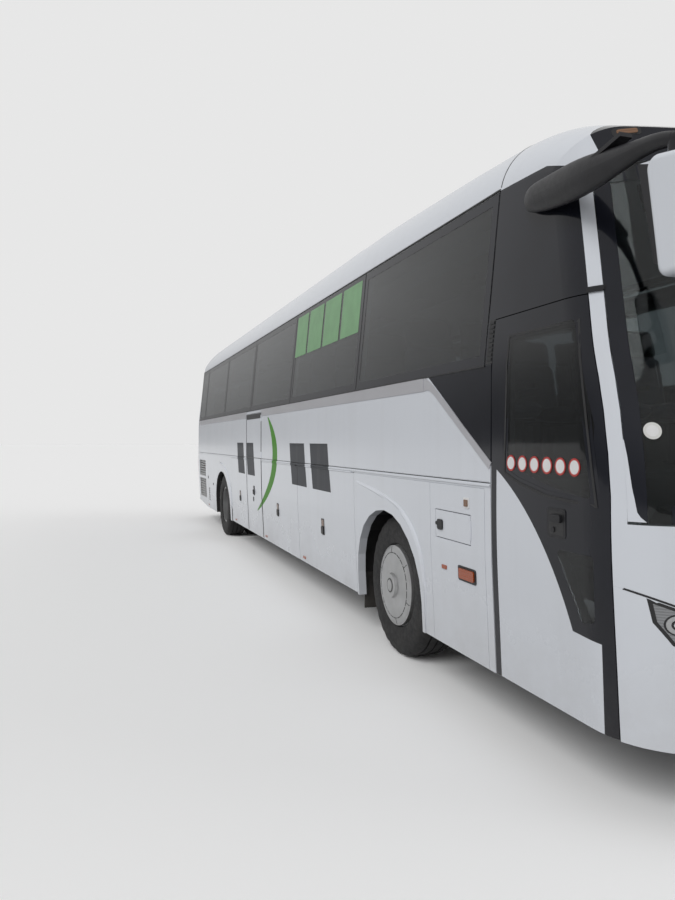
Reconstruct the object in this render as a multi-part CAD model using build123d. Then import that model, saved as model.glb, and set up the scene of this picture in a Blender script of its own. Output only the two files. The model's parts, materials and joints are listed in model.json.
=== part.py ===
from build123d import *
import math
import os

# Two-axle high-deck coach. Millimetres, +Z up, -Y forward, the entrance side is -X.
# The origin is on the ground, at the middle of the length (mirrors included) and width.
# A station is a distance behind the front axle, so what is ahead of it is negative.

# Overall sizes.
OVERALL_LENGTH = 13000
MIRROR_AHEAD = 28
FRONT_OVERHANG = 2862
WHEELBASE = 7000
OVERALL_HEIGHT = 3620
WALL = 55
GLASS = 10

# GAP is left round what opens, SEAT between pieces that sit against each other.
GAP = 5
SEAT = 0.3

# Places that follow from them.
FRONT_AXLE_Y = FRONT_OVERHANG + MIRROR_AHEAD - (OVERALL_LENGTH + MIRROR_AHEAD) / 2
REAR_REACH = OVERALL_LENGTH - FRONT_OVERHANG

# Reach of the boxes that cut pieces out of the body.
WIDE = 1400
AHEAD = -FRONT_OVERHANG - 300
BEHIND = REAR_REACH + 300
ABOVE = OVERALL_HEIGHT

# Side section: height and half width of the outer skin.
SKIRT_Z = 310
GROOVE_Z = 1310
BELT_Z = 1930
CANT_Z = 2870
CANT_HALF = 1179
SIDE_PROFILE = ((SKIRT_Z, 1238), (900, 1268), (GROOVE_Z, 1275), (BELT_Z, 1272), (CANT_Z, CANT_HALF))
LEAN = (1272 - CANT_HALF) / (CANT_Z - BELT_Z)

# Front form: height, half width, reach ahead of the front axle.
FRONT_FORM = (
    (250, 1235, FRONT_OVERHANG - 7),
    (900, 1268, FRONT_OVERHANG),
    (1310, 1275, FRONT_OVERHANG - 7),
    (1480, 1274.2, FRONT_OVERHANG - 25),
    (1660, 1273.3, FRONT_OVERHANG - 54),
    (1800, 1272.6, FRONT_OVERHANG - 85),
    (1930, 1272, FRONT_OVERHANG - 121),
    (2060, 1259.1, FRONT_OVERHANG - 165),
    (2268, 1238.6, FRONT_OVERHANG - 237),
    (3450, 1121.6, FRONT_OVERHANG - 638),
)
FORM_HEIGHTS = (250, 586, 922, 1258, 1594, 1930, 2234, 2538, 2842, 3146, 3450)
FRONT_CORNER = 380
FRONT_BOW = 2000
FRONT_BACK = 1250

# Rear form: height, half width, reach behind the front axle.
REAR_FORM = (
    (250, 1235, REAR_REACH - 33),
    (900, 1268, REAR_REACH),
    (1310, 1275, REAR_REACH - 8),
    (1930, 1272, REAR_REACH - 88),
    (2600, 1205.7, REAR_REACH - 193),
    (3450, 1121.6, REAR_REACH - 368),
)
REAR_CORNER = 260
REAR_BOW = 7000
REAR_BACK = 9000

# Roof sections: station, height where the shoulder starts, shoulder radius.
ROOF_FRONT = (
    (-3150, 2367, 185),
    (-2600, 2565, 185),
    (-2100, 2745, 225),
    (-1730, 2845, 310),
    (-1300, 2862, 385),
    (-450, 2888, 412),
    (400, 2898, 455),
    (FRONT_BACK, 2900, 475),
)
ROOF_FRONT_STATIONS = range(-3150, FRONT_BACK + 1, 440)
ROOF_REAR = (
    (REAR_BACK, 2900, 475),
    (9400, 2892, 440),
    (9800, 2856, 361),
    (10200, 2770, 260),
)
ROOF_REAR_STATIONS = range(REAR_BACK, 10201, 400)
ROOF_PLAIN = (2900, 475)
SHOULDER_START = math.radians(8)
SHOULDER_END = math.radians(82)

# Turn round the front corner at which the pillar and the windscreen start.
PILLAR_TURN = math.radians(22)
SCREEN_TURN = math.radians(32)

# Panel joints on the sides.
DOOR_REAR = -1455
FRONT_POST = -1387
DOOR_TOP = 2165
SCREEN_LOW = 1200
SCREEN_TOP = 2752
CAP_REAR = -2014
SIDE_END = 9640
WINDOW_STATIONS = (FRONT_POST, 620, 2670, 4710, 6780, 8900, SIDE_END)
WINDOW_FRAME = 45
PANE_GAP = 12
STRIP_LOW = 1845
STRIP_PROUD = 4

# The skirt's lower edge rises towards the tail: station and height.
TAIL_RISE = ((8790, SKIRT_Z), (SIDE_END, 368), (9890, 385))

# Top edge of the bumper in front view: distance from the middle and height.
BUMPER_EDGE = ((1224, 940), (1096, 890), (600, 862))

# Dark quarter panel ahead of the diagonal, and the diagonal's two ends.
QUARTER_TOP = (-695, BELT_Z)
QUARTER_FOOT = (DOOR_REAR + GAP, 1422)

# Lower side: seams of doors and flaps, by station.
FLAP_TOP = 1283
FLAP_LOW = SKIRT_Z + 8
BAY_FRONT = 656
BAY_REAR = 6190
MID_DOOR = (4050, 4980)
LUGGAGE_SPLIT = 2370
LUGGAGE_RIGHT = ((BAY_FRONT, LUGGAGE_SPLIT), (LUGGAGE_SPLIT, MID_DOOR[0]), (MID_DOOR[1], BAY_REAR))
LUGGAGE_LEFT = ((BAY_FRONT, LUGGAGE_SPLIT), (LUGGAGE_SPLIT, MID_DOOR[0]), (MID_DOOR[0], BAY_REAR))
MID_DOOR_TOP = 1895
SERVICE_FLAP = (-1235, -800, 953, 1125)
SERVICE_SEAMS = (-1386, -728)
SEAM_WIDTH = 4
SEAM_DEPTH = 4
GRILLE_ROWS = ((470, 830), (870, 1175))
GRILLE_STATIONS = (8830, 9620)
GRILLE_FRAME = 18
SLAT_PITCH = 45

# Rail over the luggage doors and the groove above it.
RAIL_LOW = FLAP_TOP + 9
RAIL_TOP = GROOVE_Z - 4
RAIL_PROUD = 6
GROOVE_WIDTH = 6
GROOVE_DEPTH = 6

# Hinge barrels, all on the axis of the joint they serve.
BARREL_R = 7
BARREL_INSET = 60
SERVICE_BARREL_R = 5
ENGINE_BARREL_R = 8
MID_HINGES = ((1320, 1400), (1780, 1860))
MID_HINGE_X = 1275.5
ENGINE_HINGE_STATION = REAR_REACH - 20
ENGINE_HINGES = (250, 350)

# Running gear.
TYRE_R = 500
TYRE_W = 295
BEAD_R = 286
RIM_HALF = 118
RIM_WALL = 22
FRONT_TRACK_HALF = 1045
KINGPIN_X = 860
KINGPIN_R = 25
STUB_R = 45
REAR_OUTER_X = 1088
TWIN_SPACING = 340
AXLE_TUBE_R = 60

# Wheel arches in the side walls and the housings behind them.
ARCH_STATION = 17
ARCH_R = 588
REAR_ARCH_R = 670
ARCH_TOP = 1040
FLARE_PROUD = 8
FLARE_LIP = 24
HOUSING_R = 645
REAR_HOUSING_R = 705
HOUSING_T = 10
HOUSING_INNER_X = 550
FLAP_THICK = 8

# Floors.
FLOOR_Z = 1320
FLOOR_T = 30
CAB_FLOOR_Z = 880
CAB_STEPS = (370, 540, 710)
STEP_T = 25
BAY_FLOOR_Z = 345
BAY_HALF = 1165
SHEET = 20
STAIR_INNER_X = 650
STAIR_STEPS = (560, 765, 970, 1150)

# Frame rails and the air springs between them and the axles.
RAIL_X = 430
RAIL_W = 70
RAIL_H = 180
RAIL_Z = 600
BEAM_TOP = TYRE_R - 10
SPRING_BEAM = (395, 445)
SPRING_OFFSET = 360

# Engine, one plain block at its place.
ENGINE = (-430, 430, 8450, 9700, 500, 1180)

# Seats.
SEAT_PITCH = 800
SEAT_START = -500
SEAT_LENGTH = 560


def st(station):
    """Y of a station."""
    return FRONT_AXLE_Y + station


def block(x0, x1, s0, s1, z0, z1):
    """Box between two corners, its length given by stations."""
    size = Box(x1 - x0, s1 - s0, z1 - z0)
    return Pos((x0 + x1) / 2, st((s0 + s1) / 2), (z0 + z1) / 2) * size


def push_x(face, x0, x1):
    """A side-view face, drawn in (Y, Z), extruded from x0 to x1."""
    return extrude(Pos(x0, 0, 0) * (Plane.YZ * face), x1 - x0, dir=(1, 0, 0))


def prism_x(points, x0, x1, radius=0):
    """Side-view outline of (station, height) points, extruded from x0 to x1."""
    face = make_face(Polyline(*[(st(s), z) for s, z in points], close=True))
    if radius:
        face = fillet(face.vertices(), radius)
    return push_x(face, x0, x1)


def prism_y(points, s0, s1):
    """Cross-section outline of (x, height) points, extruded between two stations."""
    face = Plane.XZ * make_face(Polyline(*points, close=True))
    return extrude(Pos(0, st(s0), 0) * face, s1 - s0, dir=(0, 1, 0))


def arc_s(*points):
    """Arc through three (station, height) points."""
    return ThreePointArc(*[(st(s), z) for s, z in points])


def line_s(*points):
    """Straight runs through (station, height) points."""
    return Polyline(*[(st(s), z) for s, z in points])


def sheet(*curves):
    """Face inside a closed run of curves."""
    return make_face([edge for curve in curves for edge in curve.edges()])


def rod_x(x0, x1, station, z, radius):
    """Round bar across the coach."""
    return Pos((x0 + x1) / 2, st(station), z) * Rot(0, 90, 0) * Cylinder(radius, x1 - x0)


def rod_y(x, s0, s1, z, radius):
    """Round bar along the coach."""
    return Pos(x, st((s0 + s1) / 2), z) * Rot(90, 0, 0) * Cylinder(radius, s1 - s0)


def rod_z(x, station, z0, z1, radius):
    """Upright round bar."""
    return Pos(x, st(station), (z0 + z1) / 2) * Cylinder(radius, z1 - z0)


def flipped(shape):
    """Mirror image across the middle of the coach."""
    return mirror(shape, about=Plane.YZ)


def both_sides(shape):
    return [shape, flipped(shape)]


def between(table, key):
    """Row of a table for a key that lies between, or past, the first column's values."""
    for low, high in zip(table, table[1:]):
        if key <= high[0] or high is table[-1]:
            share = (key - low[0]) / (high[0] - low[0])
            return [a + (b - a) * share for a, b in zip(low, high)]


def half_width(z):
    """Outer skin's half width at a height."""
    return between(SIDE_PROFILE, z)[1]


def side_section(z0, z1, depth0=0, depth1=WALL):
    """Wall section between two heights and two depths below the skin, on +X."""
    heights = [z0] + [z for z, _ in SIDE_PROFILE if z0 < z < z1] + [z1]
    outer = [(half_width(z) - depth0, z) for z in heights]
    inner = [(half_width(z) - depth1, z) for z in reversed(heights)]
    return outer + inner


def plan_outline(half, reach, corner, bow, back, inset):
    """Closed plan outline, nose towards -Y, for one height of an end form."""
    half, reach, corner, bow = (v - inset for v in (half, reach, corner, bow))
    bow_y = bow - reach
    corner_x = half - corner
    corner_y = bow_y - math.sqrt((bow - corner) ** 2 - corner_x**2)
    grow = bow / (bow - corner)
    meet = (corner_x * grow, bow_y + (corner_y - bow_y) * grow)
    turn = math.atan2(corner_y - meet[1], meet[0] - corner_x) / 2
    middle = (corner_x + corner * math.cos(turn), corner_y - corner * math.sin(turn))
    left = [(-x, y) for x, y in ((half, corner_y), middle, meet)]
    return Wire([
        Line((half, back), (half, corner_y)),
        ThreePointArc((half, corner_y), middle, meet),
        ThreePointArc(meet, (0, -reach), left[2]),
        ThreePointArc(left[2], left[1], left[0]),
        Line(left[0], (-half, back)),
        Line((-half, back), (half, back)),
    ])


def front_form(inset):
    """Solid of the nose, from its plan outlines."""
    faces = []
    for z, half, reach in (between(FRONT_FORM, height) for height in FORM_HEIGHTS):
        wire = plan_outline(half, reach, FRONT_CORNER, FRONT_BOW, FRONT_BACK, inset)
        faces.append(Pos(0, FRONT_AXLE_Y, z) * make_face(wire))
    return loft(faces)


def rear_form(inset):
    """Solid of the tail, from its plan outlines turned to face +Y."""
    faces = []
    for z, half, reach in (between(REAR_FORM, height) for height in FORM_HEIGHTS):
        wire = plan_outline(half, reach, REAR_CORNER, REAR_BOW, -REAR_BACK, inset)
        faces.append(Pos(0, FRONT_AXLE_Y, z) * Rot(0, 0, 180) * make_face(wire))
    return loft(faces)


def roof_outline(shoulder_z, radius, inset, low):
    """Cross-section of the roof: a leaning side, the shoulder's arc and the crown's arc."""
    start_x = CANT_HALF - (shoulder_z - CANT_Z) * LEAN
    cx = start_x - radius * math.cos(SHOULDER_START)
    cz = shoulder_z - radius * math.sin(SHOULDER_START)
    inner = radius - inset
    arc = []
    for angle in (SHOULDER_START, (SHOULDER_START + SHOULDER_END) / 2, SHOULDER_END):
        arc.append((cx + inner * math.cos(angle), cz + inner * math.sin(angle)))
    crown = cz - cx * math.tan(SHOULDER_END) + cx / math.cos(SHOULDER_END) + inner
    foot = (arc[0][0] + (arc[0][1] - low) * math.tan(SHOULDER_START), low)
    left = [(-x, z) for x, z in arc]
    return Wire([
        Line(foot, arc[0]),
        ThreePointArc(*arc),
        ThreePointArc(arc[2], (0, crown), left[2]),
        ThreePointArc(left[2], left[1], left[0]),
        Line(left[0], (-foot[0], low)),
        Line((-foot[0], low), foot),
    ])


def roof_form(table, stations, inset, low=200):
    """Solid under the roof's surface, from cross-sections at even stations."""
    faces = []
    for station, shoulder_z, radius in (between(table, station) for station in stations):
        face = make_face(roof_outline(shoulder_z, radius, inset, low))
        faces.append(Pos(0, st(station), 0) * (Plane.XZ * face))
    return loft(faces)


def corner_edge(turn, z):
    """Station of a vertical line that lies a given turn round the front corner."""
    _, half, reach = between(FRONT_FORM, z)
    inner_bow = FRONT_BOW - FRONT_CORNER
    corner_y = FRONT_BOW - reach - math.sqrt(inner_bow**2 - (half - FRONT_CORNER) ** 2)
    return corner_y - FRONT_CORNER * math.sin(turn)


def edge_line(turn, z0, z1, shift=0):
    """Points of a corner line from z0 to z1, upwards or downwards."""
    low, high = min(z0, z1), max(z0, z1)
    heights = [low] + [row[0] for row in FRONT_FORM if low < row[0] < high] + [high]
    points = [(corner_edge(turn, z) + shift, z) for z in heights]
    return points if z0 < z1 else points[::-1]


def nose_solid(inset):
    """The nose and its roof, to a depth below the skin."""
    return front_form(inset) & roof_form(ROOF_FRONT, ROOF_FRONT_STATIONS, inset)


def tail_solid(inset):
    """The tail and its roof, to a depth below the skin."""
    return rear_form(inset) & roof_form(ROOF_REAR, ROOF_REAR_STATIONS, inset)


front_core = front_form(GLASS)
front_shell = nose_solid(0) - nose_solid(WALL)
front_shell &= block(-WIDE, WIDE, AHEAD, FRONT_BACK, SKIRT_Z, ABOVE)
rear_shell = tail_solid(0) - tail_solid(WALL)


def right(shape):
    """The part of a shape on the entrance side."""
    return shape & block(-WIDE, 0, AHEAD, BEHIND, 0, ABOVE)


def left(shape):
    """The part of a shape on the driver's side."""
    return shape & block(0, WIDE, AHEAD, BEHIND, 0, ABOVE)


def screen_zone():
    """What the windscreen fills, in side view."""
    points = edge_line(SCREEN_TURN, SCREEN_LOW, SCREEN_TOP) + [(AHEAD, SCREEN_TOP), (AHEAD, SCREEN_LOW)]
    return prism_x(points, -WIDE, WIDE)


def cant_line(shift):
    """Where the roof meets the dark panels ahead of the side windows."""
    return [(FRONT_POST, CANT_Z - shift), (-1800, CANT_Z - 18 - shift), (-1960, CANT_Z - 73 - shift)]


def upper_panel_outline():
    """Dark panel above the entrance door and above the driver's window."""
    nose = edge_line(PILLAR_TURN, 2700, DOOR_TOP + GAP, SEAT)
    top = [(FRONT_POST - SEAT, CANT_Z - SEAT)] + cant_line(SEAT)[1:]
    rear = DOOR_REAR + GAP
    foot = [(rear, DOOR_TOP + GAP), (rear, BELT_Z + SEAT), (FRONT_POST - SEAT, BELT_Z + SEAT)]
    return top + nose + foot


def cap_outline():
    """Dark forehead above the windscreen."""
    return [
        (CAP_REAR, ABOVE),
        (CAP_REAR, 2946),
        (-2119, SCREEN_TOP + SEAT),
        (AHEAD, SCREEN_TOP + SEAT),
        (AHEAD, ABOVE),
    ]


def pillar_outline():
    """White pillars beside the windscreen, with the panel below it, in side view."""
    return edge_line(PILLAR_TURN, SKIRT_Z, SCREEN_TOP) + [(AHEAD, SCREEN_TOP), (AHEAD, SKIRT_Z)]


def below_bumper_edge(drop):
    """All that lies under the bumper's top edge, in front view."""
    edge = [(x, z - drop) for x, z in BUMPER_EDGE]
    rise = (edge[0][1] - edge[1][1]) / (edge[0][0] - edge[1][0])
    edge = [(WIDE, edge[0][1] + (WIDE - edge[0][0]) * rise)] + edge
    return prism_y([(WIDE, 0)] + edge + [(-x, z) for x, z in reversed(edge)] + [(-WIDE, 0)], AHEAD, -2000)


def door_outline(gap, rear, top):
    """Entrance door, or the fixed panel opposite, in side view."""
    low = SKIRT_Z + GAP
    return [(rear, low)] + edge_line(PILLAR_TURN, low, top, gap) + [(rear, top)]


# The entrance door's panes and its painted skin, as stations and heights.
DOOR_SEAL = 55
PANE_TOP = 2065
PANE_REAR = DOOR_REAR - 145
PANE_FRONT = -2262
SKIN_FRONT = -2300
SKIN_ARC = ((DOOR_REAR - DOOR_SEAL, 1387), (-1880, 1090), (-2120, 703))


def door_panes():
    """Openings for the upper and the lower pane, upper edge forward-leaning."""
    upper = sheet(
        line_s((-2120, PANE_TOP), (PANE_REAR, PANE_TOP), (PANE_REAR, 1440)),
        arc_s((PANE_REAR, 1440), (-1900, 1345), (PANE_FRONT, 1290)),
        line_s((PANE_FRONT, 1290), (PANE_FRONT, 1600), (-2120, PANE_TOP)),
    )
    lower = make_face(line_s((-2010, 1050), (-2268, 1050), (-2268, 770), (-2190, 750), (-2010, 1050)))
    upper = fillet(upper.vertices(), 30)
    lower = fillet(lower.vertices(), 22)
    return push_x(upper, -WIDE, 0) + push_x(lower, -WIDE, 0)


def door_skin_zone():
    """Painted lower skin of the entrance door, its upper edge a sweeping arc."""
    low = SKIRT_Z + GAP
    face = sheet(
        arc_s(*SKIN_ARC),
        line_s(SKIN_ARC[2], (SKIN_FRONT, 690), (SKIN_FRONT, low), (SKIN_ARC[0][0], low), SKIN_ARC[0]),
    )
    return push_x(face, -WIDE, 0)


# Arms that carry the entrance door: heights, post, elbow and pin as x and station.
ARM_HEIGHTS = (560, 1250)
ARM_R = 16
POST = (-1130, -2220)
POST_R = 22
ELBOW = (-970, -2199)
PIN = (-1090, -1800)
PIN_R = 7.7


def door_arms():
    """Upright post on the first step, with two bent arms to the door's pins."""
    arms = rod_z(*POST, CAB_STEPS[0] + STEP_T + SEAT, ARM_HEIGHTS[1] + 40, POST_R)
    for z in ARM_HEIGHTS:
        for (x0, s0), (x1, s1) in ((POST, ELBOW), (ELBOW, PIN)):
            a = Vector(x0, st(s0), z)
            b = Vector(x1, st(s1), z)
            length = (b - a).length
            arms += Plane(origin=a, z_dir=b - a) * Pos(0, 0, length / 2) * Cylinder(ARM_R, length)
            arms += Pos(b.X, b.Y, b.Z) * Sphere(ARM_R)
        arms -= rod_z(*PIN, z - 2 * ARM_R, z + 2 * ARM_R, PIN_R + SEAT)
    return arms


def door_pins():
    """Lugs on the entrance door's inner face, each with the pin that hangs in an arm."""
    x, station = PIN
    lugs = []
    for z in ARM_HEIGHTS:
        inner = WALL - half_width(z) - 5
        lug = block(inner, x + 18, station - 18, station + 18, z + 18, z + 30)
        lugs.append(lug + rod_z(x, station, z - ARM_R, z + 20, PIN_R))
    return lugs


DRIVER_WINDOW = ((-1540, 1480), (-1540, 2080), (-2120, 2080), (-2250, 1700), (-2285, 1480))
INTAKE_SLOTS = (400, 440, 480, 520)
INTAKE_HALF = 430

# Headlamp outline in front view: distance from the middle and height.
HEADLAMP = (
    (1165, 903), (1096, 876), (740, 850), (690, 770), (730, 690), (980, 694), (1095, 738), (1150, 820),
)


def front_nodes():
    """The nose: cap, pillars with the front panel, bumper, lamps, windscreen, door and cab side."""
    cap = prism_x(cap_outline(), -WIDE, WIDE)
    screen = screen_zone()
    nose = front_shell & prism_x(pillar_outline(), -WIDE, WIDE)
    made = {"windscreen": (front_shell & screen) - front_core}
    made["front_cap"] = front_shell & cap
    made["front_panel"] = nose - screen - cap - below_bumper_edge(0)
    bumper = nose & below_bumper_edge(SEAT)
    lamps = prism_y(HEADLAMP, AHEAD, -2300)
    lamps = lamps + flipped(lamps)
    made["headlamps"] = bumper & lamps
    bumper -= lamps
    for z in INTAKE_SLOTS:
        bumper -= block(-INTAKE_HALF, INTAKE_HALF, AHEAD, -2500, z, z + 26)
    made["front_bumper"] = bumper
    made["upper_panels"] = front_shell & prism_x(upper_panel_outline(), -WIDE, WIDE)
    door = right(front_shell & prism_x(door_outline(GAP, DOOR_REAR - GAP, DOOR_TOP), -WIDE, 0))
    panes = door_panes()
    skin = (door & door_skin_zone()) - front_core
    made["front_door_skin"] = skin
    made["front_door_glass"] = (door & panes) - front_core
    frame = door - panes - skin
    for lug in door_pins():
        frame += lug
    made["front_door_frame"] = frame
    outline = door_outline(SEAT, DOOR_REAR + GAP - SEAT, DOOR_TOP + GAP - SEAT)
    cab = left(front_shell & prism_x(outline, 0, WIDE))
    window = prism_x(DRIVER_WINDOW, 0, WIDE, 40)
    made["cab_side_left"] = cab - window
    made["driver_window"] = (cab & window) - front_core
    return made


def roof_panel():
    """Roof skin from the cap to the tail, jointed where its long straight middle starts and ends."""
    nose = edge_line(PILLAR_TURN, 2702, SCREEN_TOP + SEAT)
    below = [(FRONT_BACK + 10, CANT_Z)] + cant_line(0) + nose
    below += [(AHEAD, SCREEN_TOP + SEAT), (AHEAD, 100), (FRONT_BACK + 10, 100)]
    front = front_shell - prism_x(below, -WIDE, WIDE)
    front = front - prism_x(cap_outline(), -WIDE, WIDE) - prism_x(pillar_outline(), -WIDE, WIDE)
    front -= block(-WIDE, WIDE, FRONT_POST, FRONT_POST + SEAT, 0, ABOVE)
    rings = []
    for inset in (0, WALL):
        wire = roof_outline(*ROOF_PLAIN, inset, CANT_Z - 800)
        face = Pos(0, st(FRONT_BACK), 0) * (Plane.XZ * make_face(wire))
        rings.append(extrude(face, REAR_BACK - FRONT_BACK, dir=(0, 1, 0)))
    lean = [(half_width(CANT_Z - 100), CANT_Z - 100), (half_width(CANT_Z + 700), CANT_Z + 700)]
    lean = prism_y(lean + [(-x, z) for x, z in reversed(lean)], FRONT_BACK, REAR_BACK)
    length = block(-WIDE, WIDE, FRONT_BACK + SEAT, REAR_BACK - SEAT, CANT_Z, ABOVE)
    middle = (rings[0] - rings[1]) & lean & length
    tail = rear_shell & block(-WIDE, WIDE, REAR_BACK, BEHIND, CANT_Z, ABOVE)
    return [front, middle, tail]


def arch_outline(station, radius, top, low=0):
    """Wheel arch in side view: a round top on straight legs."""
    rise = top - TYRE_R
    points = []
    for step in range(0, 13):
        angle = math.pi * step / 12
        points.append((station + radius * math.cos(angle), TYRE_R + rise * math.sin(angle)))
    return [(station + radius, low)] + points + [(station - radius, low)]


# Crests of the flares over the arches, from the rear tip round to the skirt, in two arcs.
FRONT_CREST = ((600, 1214), (101, 1148), (-300, 1050), (-540, 868), (-616, 620))
FRONT_CREST_FOOT = -606
REAR_CREST = ((7240, 1181), (6770, 1118), (6450, 970), (6252, 760), (BAY_REAR + 6, 480))
REAR_CREST_FOOT = BAY_REAR + 16


def flare(crest, foot, station, radius):
    """Raised flare over an arch, following the side's section."""
    face = sheet(
        arc_s(*crest[:3]),
        arc_s(*crest[2:]),
        line_s(crest[4], (foot, SKIRT_Z), (station, SKIRT_Z), (station, 900), crest[0]),
    )
    lip = arch_outline(station, radius + FLARE_LIP, ARCH_TOP + FLARE_LIP, SKIRT_Z)
    region = push_x(face, 1000, WIDE) + prism_x(lip, 1000, WIDE)
    ends = (min(s for s, _ in crest) - 10, station + radius + FLARE_LIP)
    return region & prism_y(side_section(SKIRT_Z, FLAP_TOP, -FLARE_PROUD, 5), *ends)


def quarter_outline(shrink):
    """Dark panel between the groove and the belt, behind the entrance door."""
    end = DOOR_REAR + GAP - 1
    return [
        (end, QUARTER_FOOT[1] + shrink),
        (QUARTER_TOP[0] - shrink, BELT_Z + 1),
        (end, BELT_Z + 1),
    ]


def quarter_panel():
    wall = prism_y(side_section(SKIRT_Z, BELT_Z), DOOR_REAR + GAP, 0)
    return wall & prism_x(quarter_outline(SEAT), 900, WIDE)


def tail_cut():
    """What is missing below the skirt's rising edge."""
    low = [(BEHIND, 0), (TAIL_RISE[0][0], 0)]
    return prism_x(low + list(TAIL_RISE) + [(BEHIND, TAIL_RISE[2][1])], -WIDE, WIDE)


HINGE_X = half_width(FLAP_TOP)
SERVICE_HINGE_X = half_width(SERVICE_FLAP[3]) + 0.5


def rails(ends):
    """Rails over the luggage doors, each between a pair of stations."""
    x = half_width(RAIL_LOW)
    out = x + RAIL_PROUD
    section = (
        (x - 1, RAIL_LOW), (out - 2, RAIL_LOW), (out, RAIL_LOW + 4),
        (out, RAIL_TOP - 4), (x, RAIL_TOP), (x - 1, RAIL_TOP),
    )
    return [prism_y(section, s0, s1) for s0, s1 in ends]


def seams():
    """Shallow panel joints ahead of and over the front arch."""
    lines = []
    for s in SERVICE_SEAMS:
        half = SEAM_WIDTH / 2
        section = side_section(SKIRT_Z - 5, FLAP_TOP, -FLARE_PROUD - 2, SEAM_DEPTH)
        lines.append(prism_y(section, s - half, s + half))
    over = side_section(FLAP_TOP - SEAM_WIDTH, FLAP_TOP, -2, SEAM_DEPTH)
    lines.append(prism_y(over, SERVICE_SEAMS[0], BAY_FRONT))
    return lines


def side_wall(flaps, mid_door):
    """Side wall on +X: lower panels, belt and window frames, with every opening cut."""
    wall = prism_y(side_section(SKIRT_Z, CANT_Z), DOOR_REAR + GAP, SIDE_END)
    reach = (900, WIDE)
    wall -= prism_y(side_section(BELT_Z, CANT_Z, -20, GLASS), FRONT_POST, SIDE_END)
    wall -= block(*reach, DOOR_REAR, FRONT_POST, BELT_Z, ABOVE)
    for s0, s1 in zip(WINDOW_STATIONS, WINDOW_STATIONS[1:]):
        edge = WINDOW_FRAME
        wall -= block(*reach, s0 + edge, s1 - edge, BELT_Z + edge, CANT_Z - edge)
    groove = side_section(GROOVE_Z, GROOVE_Z + GROOVE_WIDTH, -2, GROOVE_DEPTH)
    wall -= prism_y(groove, DOOR_REAR, SIDE_END)
    for seam in seams():
        wall -= seam
    wall += flare(FRONT_CREST, FRONT_CREST_FOOT, ARCH_STATION, ARCH_R)
    wall += flare(REAR_CREST, REAR_CREST_FOOT, WHEELBASE, REAR_ARCH_R)
    ends = ((DOOR_REAR + GAP, MID_DOOR[0] - GAP), (MID_DOOR[1] + GAP, SIDE_END))
    for rail in rails(ends if mid_door else ((DOOR_REAR + GAP, SIDE_END),)):
        wall += rail
    wall -= prism_x(arch_outline(ARCH_STATION, ARCH_R, ARCH_TOP), *reach)
    wall -= prism_x(arch_outline(WHEELBASE, REAR_ARCH_R, ARCH_TOP), *reach)
    for s0, s1 in flaps:
        wall -= block(*reach, s0, s1, 0, FLAP_TOP)
        inset = BARREL_INSET - 1
        wall -= rod_y(HINGE_X, s0 + inset, s1 - inset, FLAP_TOP, BARREL_R + SEAT)
    if mid_door:
        wall -= block(*reach, *MID_DOOR, 0, MID_DOOR_TOP)
        for z0, z1 in MID_HINGES:
            wall -= rod_z(MID_HINGE_X, MID_DOOR[0], z0 - 1, z1 + 1, BARREL_R + SEAT)
    s0, s1, z0, z1 = SERVICE_FLAP
    wall -= block(*reach, s0, s1, z0, z1)
    wall -= rod_z(SERVICE_HINGE_X, s0, z0 + 29, z1 - 29, SERVICE_BARREL_R + SEAT)
    for z0, z1 in GRILLE_ROWS:
        wall -= block(*reach, *GRILLE_STATIONS, z0, z1)
    wall -= prism_x(quarter_outline(0), *reach)
    return wall - tail_cut()


def leaf(s0, s1, z0, z1):
    """A full-thickness door in the side wall on +X, with its gap all round."""
    return prism_y(side_section(z0, z1), s0 + GAP, s1 - GAP)


def luggage_door(s0, s1):
    """Luggage door with its hinge barrel along the top edge."""
    door = leaf(s0, s1, FLAP_LOW, FLAP_TOP - GAP)
    ends = (s0 + BARREL_INSET, s1 - BARREL_INSET)
    door += rod_y(HINGE_X, *ends, FLAP_TOP, BARREL_R)
    return door + block(HINGE_X - 13, HINGE_X - 1, *ends, FLAP_TOP - GAP - 3, FLAP_TOP - SEAT)


def mid_door():
    """Second entrance door, with two hinge barrels on its front edge."""
    door = leaf(*MID_DOOR, FLAP_LOW, MID_DOOR_TOP - GAP)
    front = MID_DOOR[0]
    for z0, z1 in MID_HINGES:
        door += rod_z(MID_HINGE_X, front, z0, z1, BARREL_R)
        door += block(MID_HINGE_X - 16, MID_HINGE_X - 4, front + SEAT, front + GAP + 4, z0, z1)
    return door


def service_flap():
    """Small flap behind the entrance door, hinged at its front edge."""
    s0, s1, z0, z1 = SERVICE_FLAP
    flap = leaf(s0, s1, z0 + GAP, z1 - GAP)
    flap += rod_z(SERVICE_HINGE_X, s0, z0 + 30, z1 - 30, SERVICE_BARREL_R)
    return flap + block(SERVICE_HINGE_X - 12, SERVICE_HINGE_X - 3, s0 + SEAT, s0 + GAP + 4, z0 + 30, z1 - 30)


def side_panes():
    """Panes seated in the rebate of the window band, on +X."""
    panes = []
    for s0, s1 in zip(WINDOW_STATIONS, WINDOW_STATIONS[1:]):
        section = side_section(BELT_Z + 2, CANT_Z - 2, 0, GLASS)
        panes.append(prism_y(section, s0 + PANE_GAP / 2, s1 - PANE_GAP / 2))
    return panes


def belt_strip(s0, s1):
    """Bright strip under the windows, on +X."""
    return prism_y(side_section(STRIP_LOW, BELT_Z, -STRIP_PROUD, 0), s0, s1)


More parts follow.
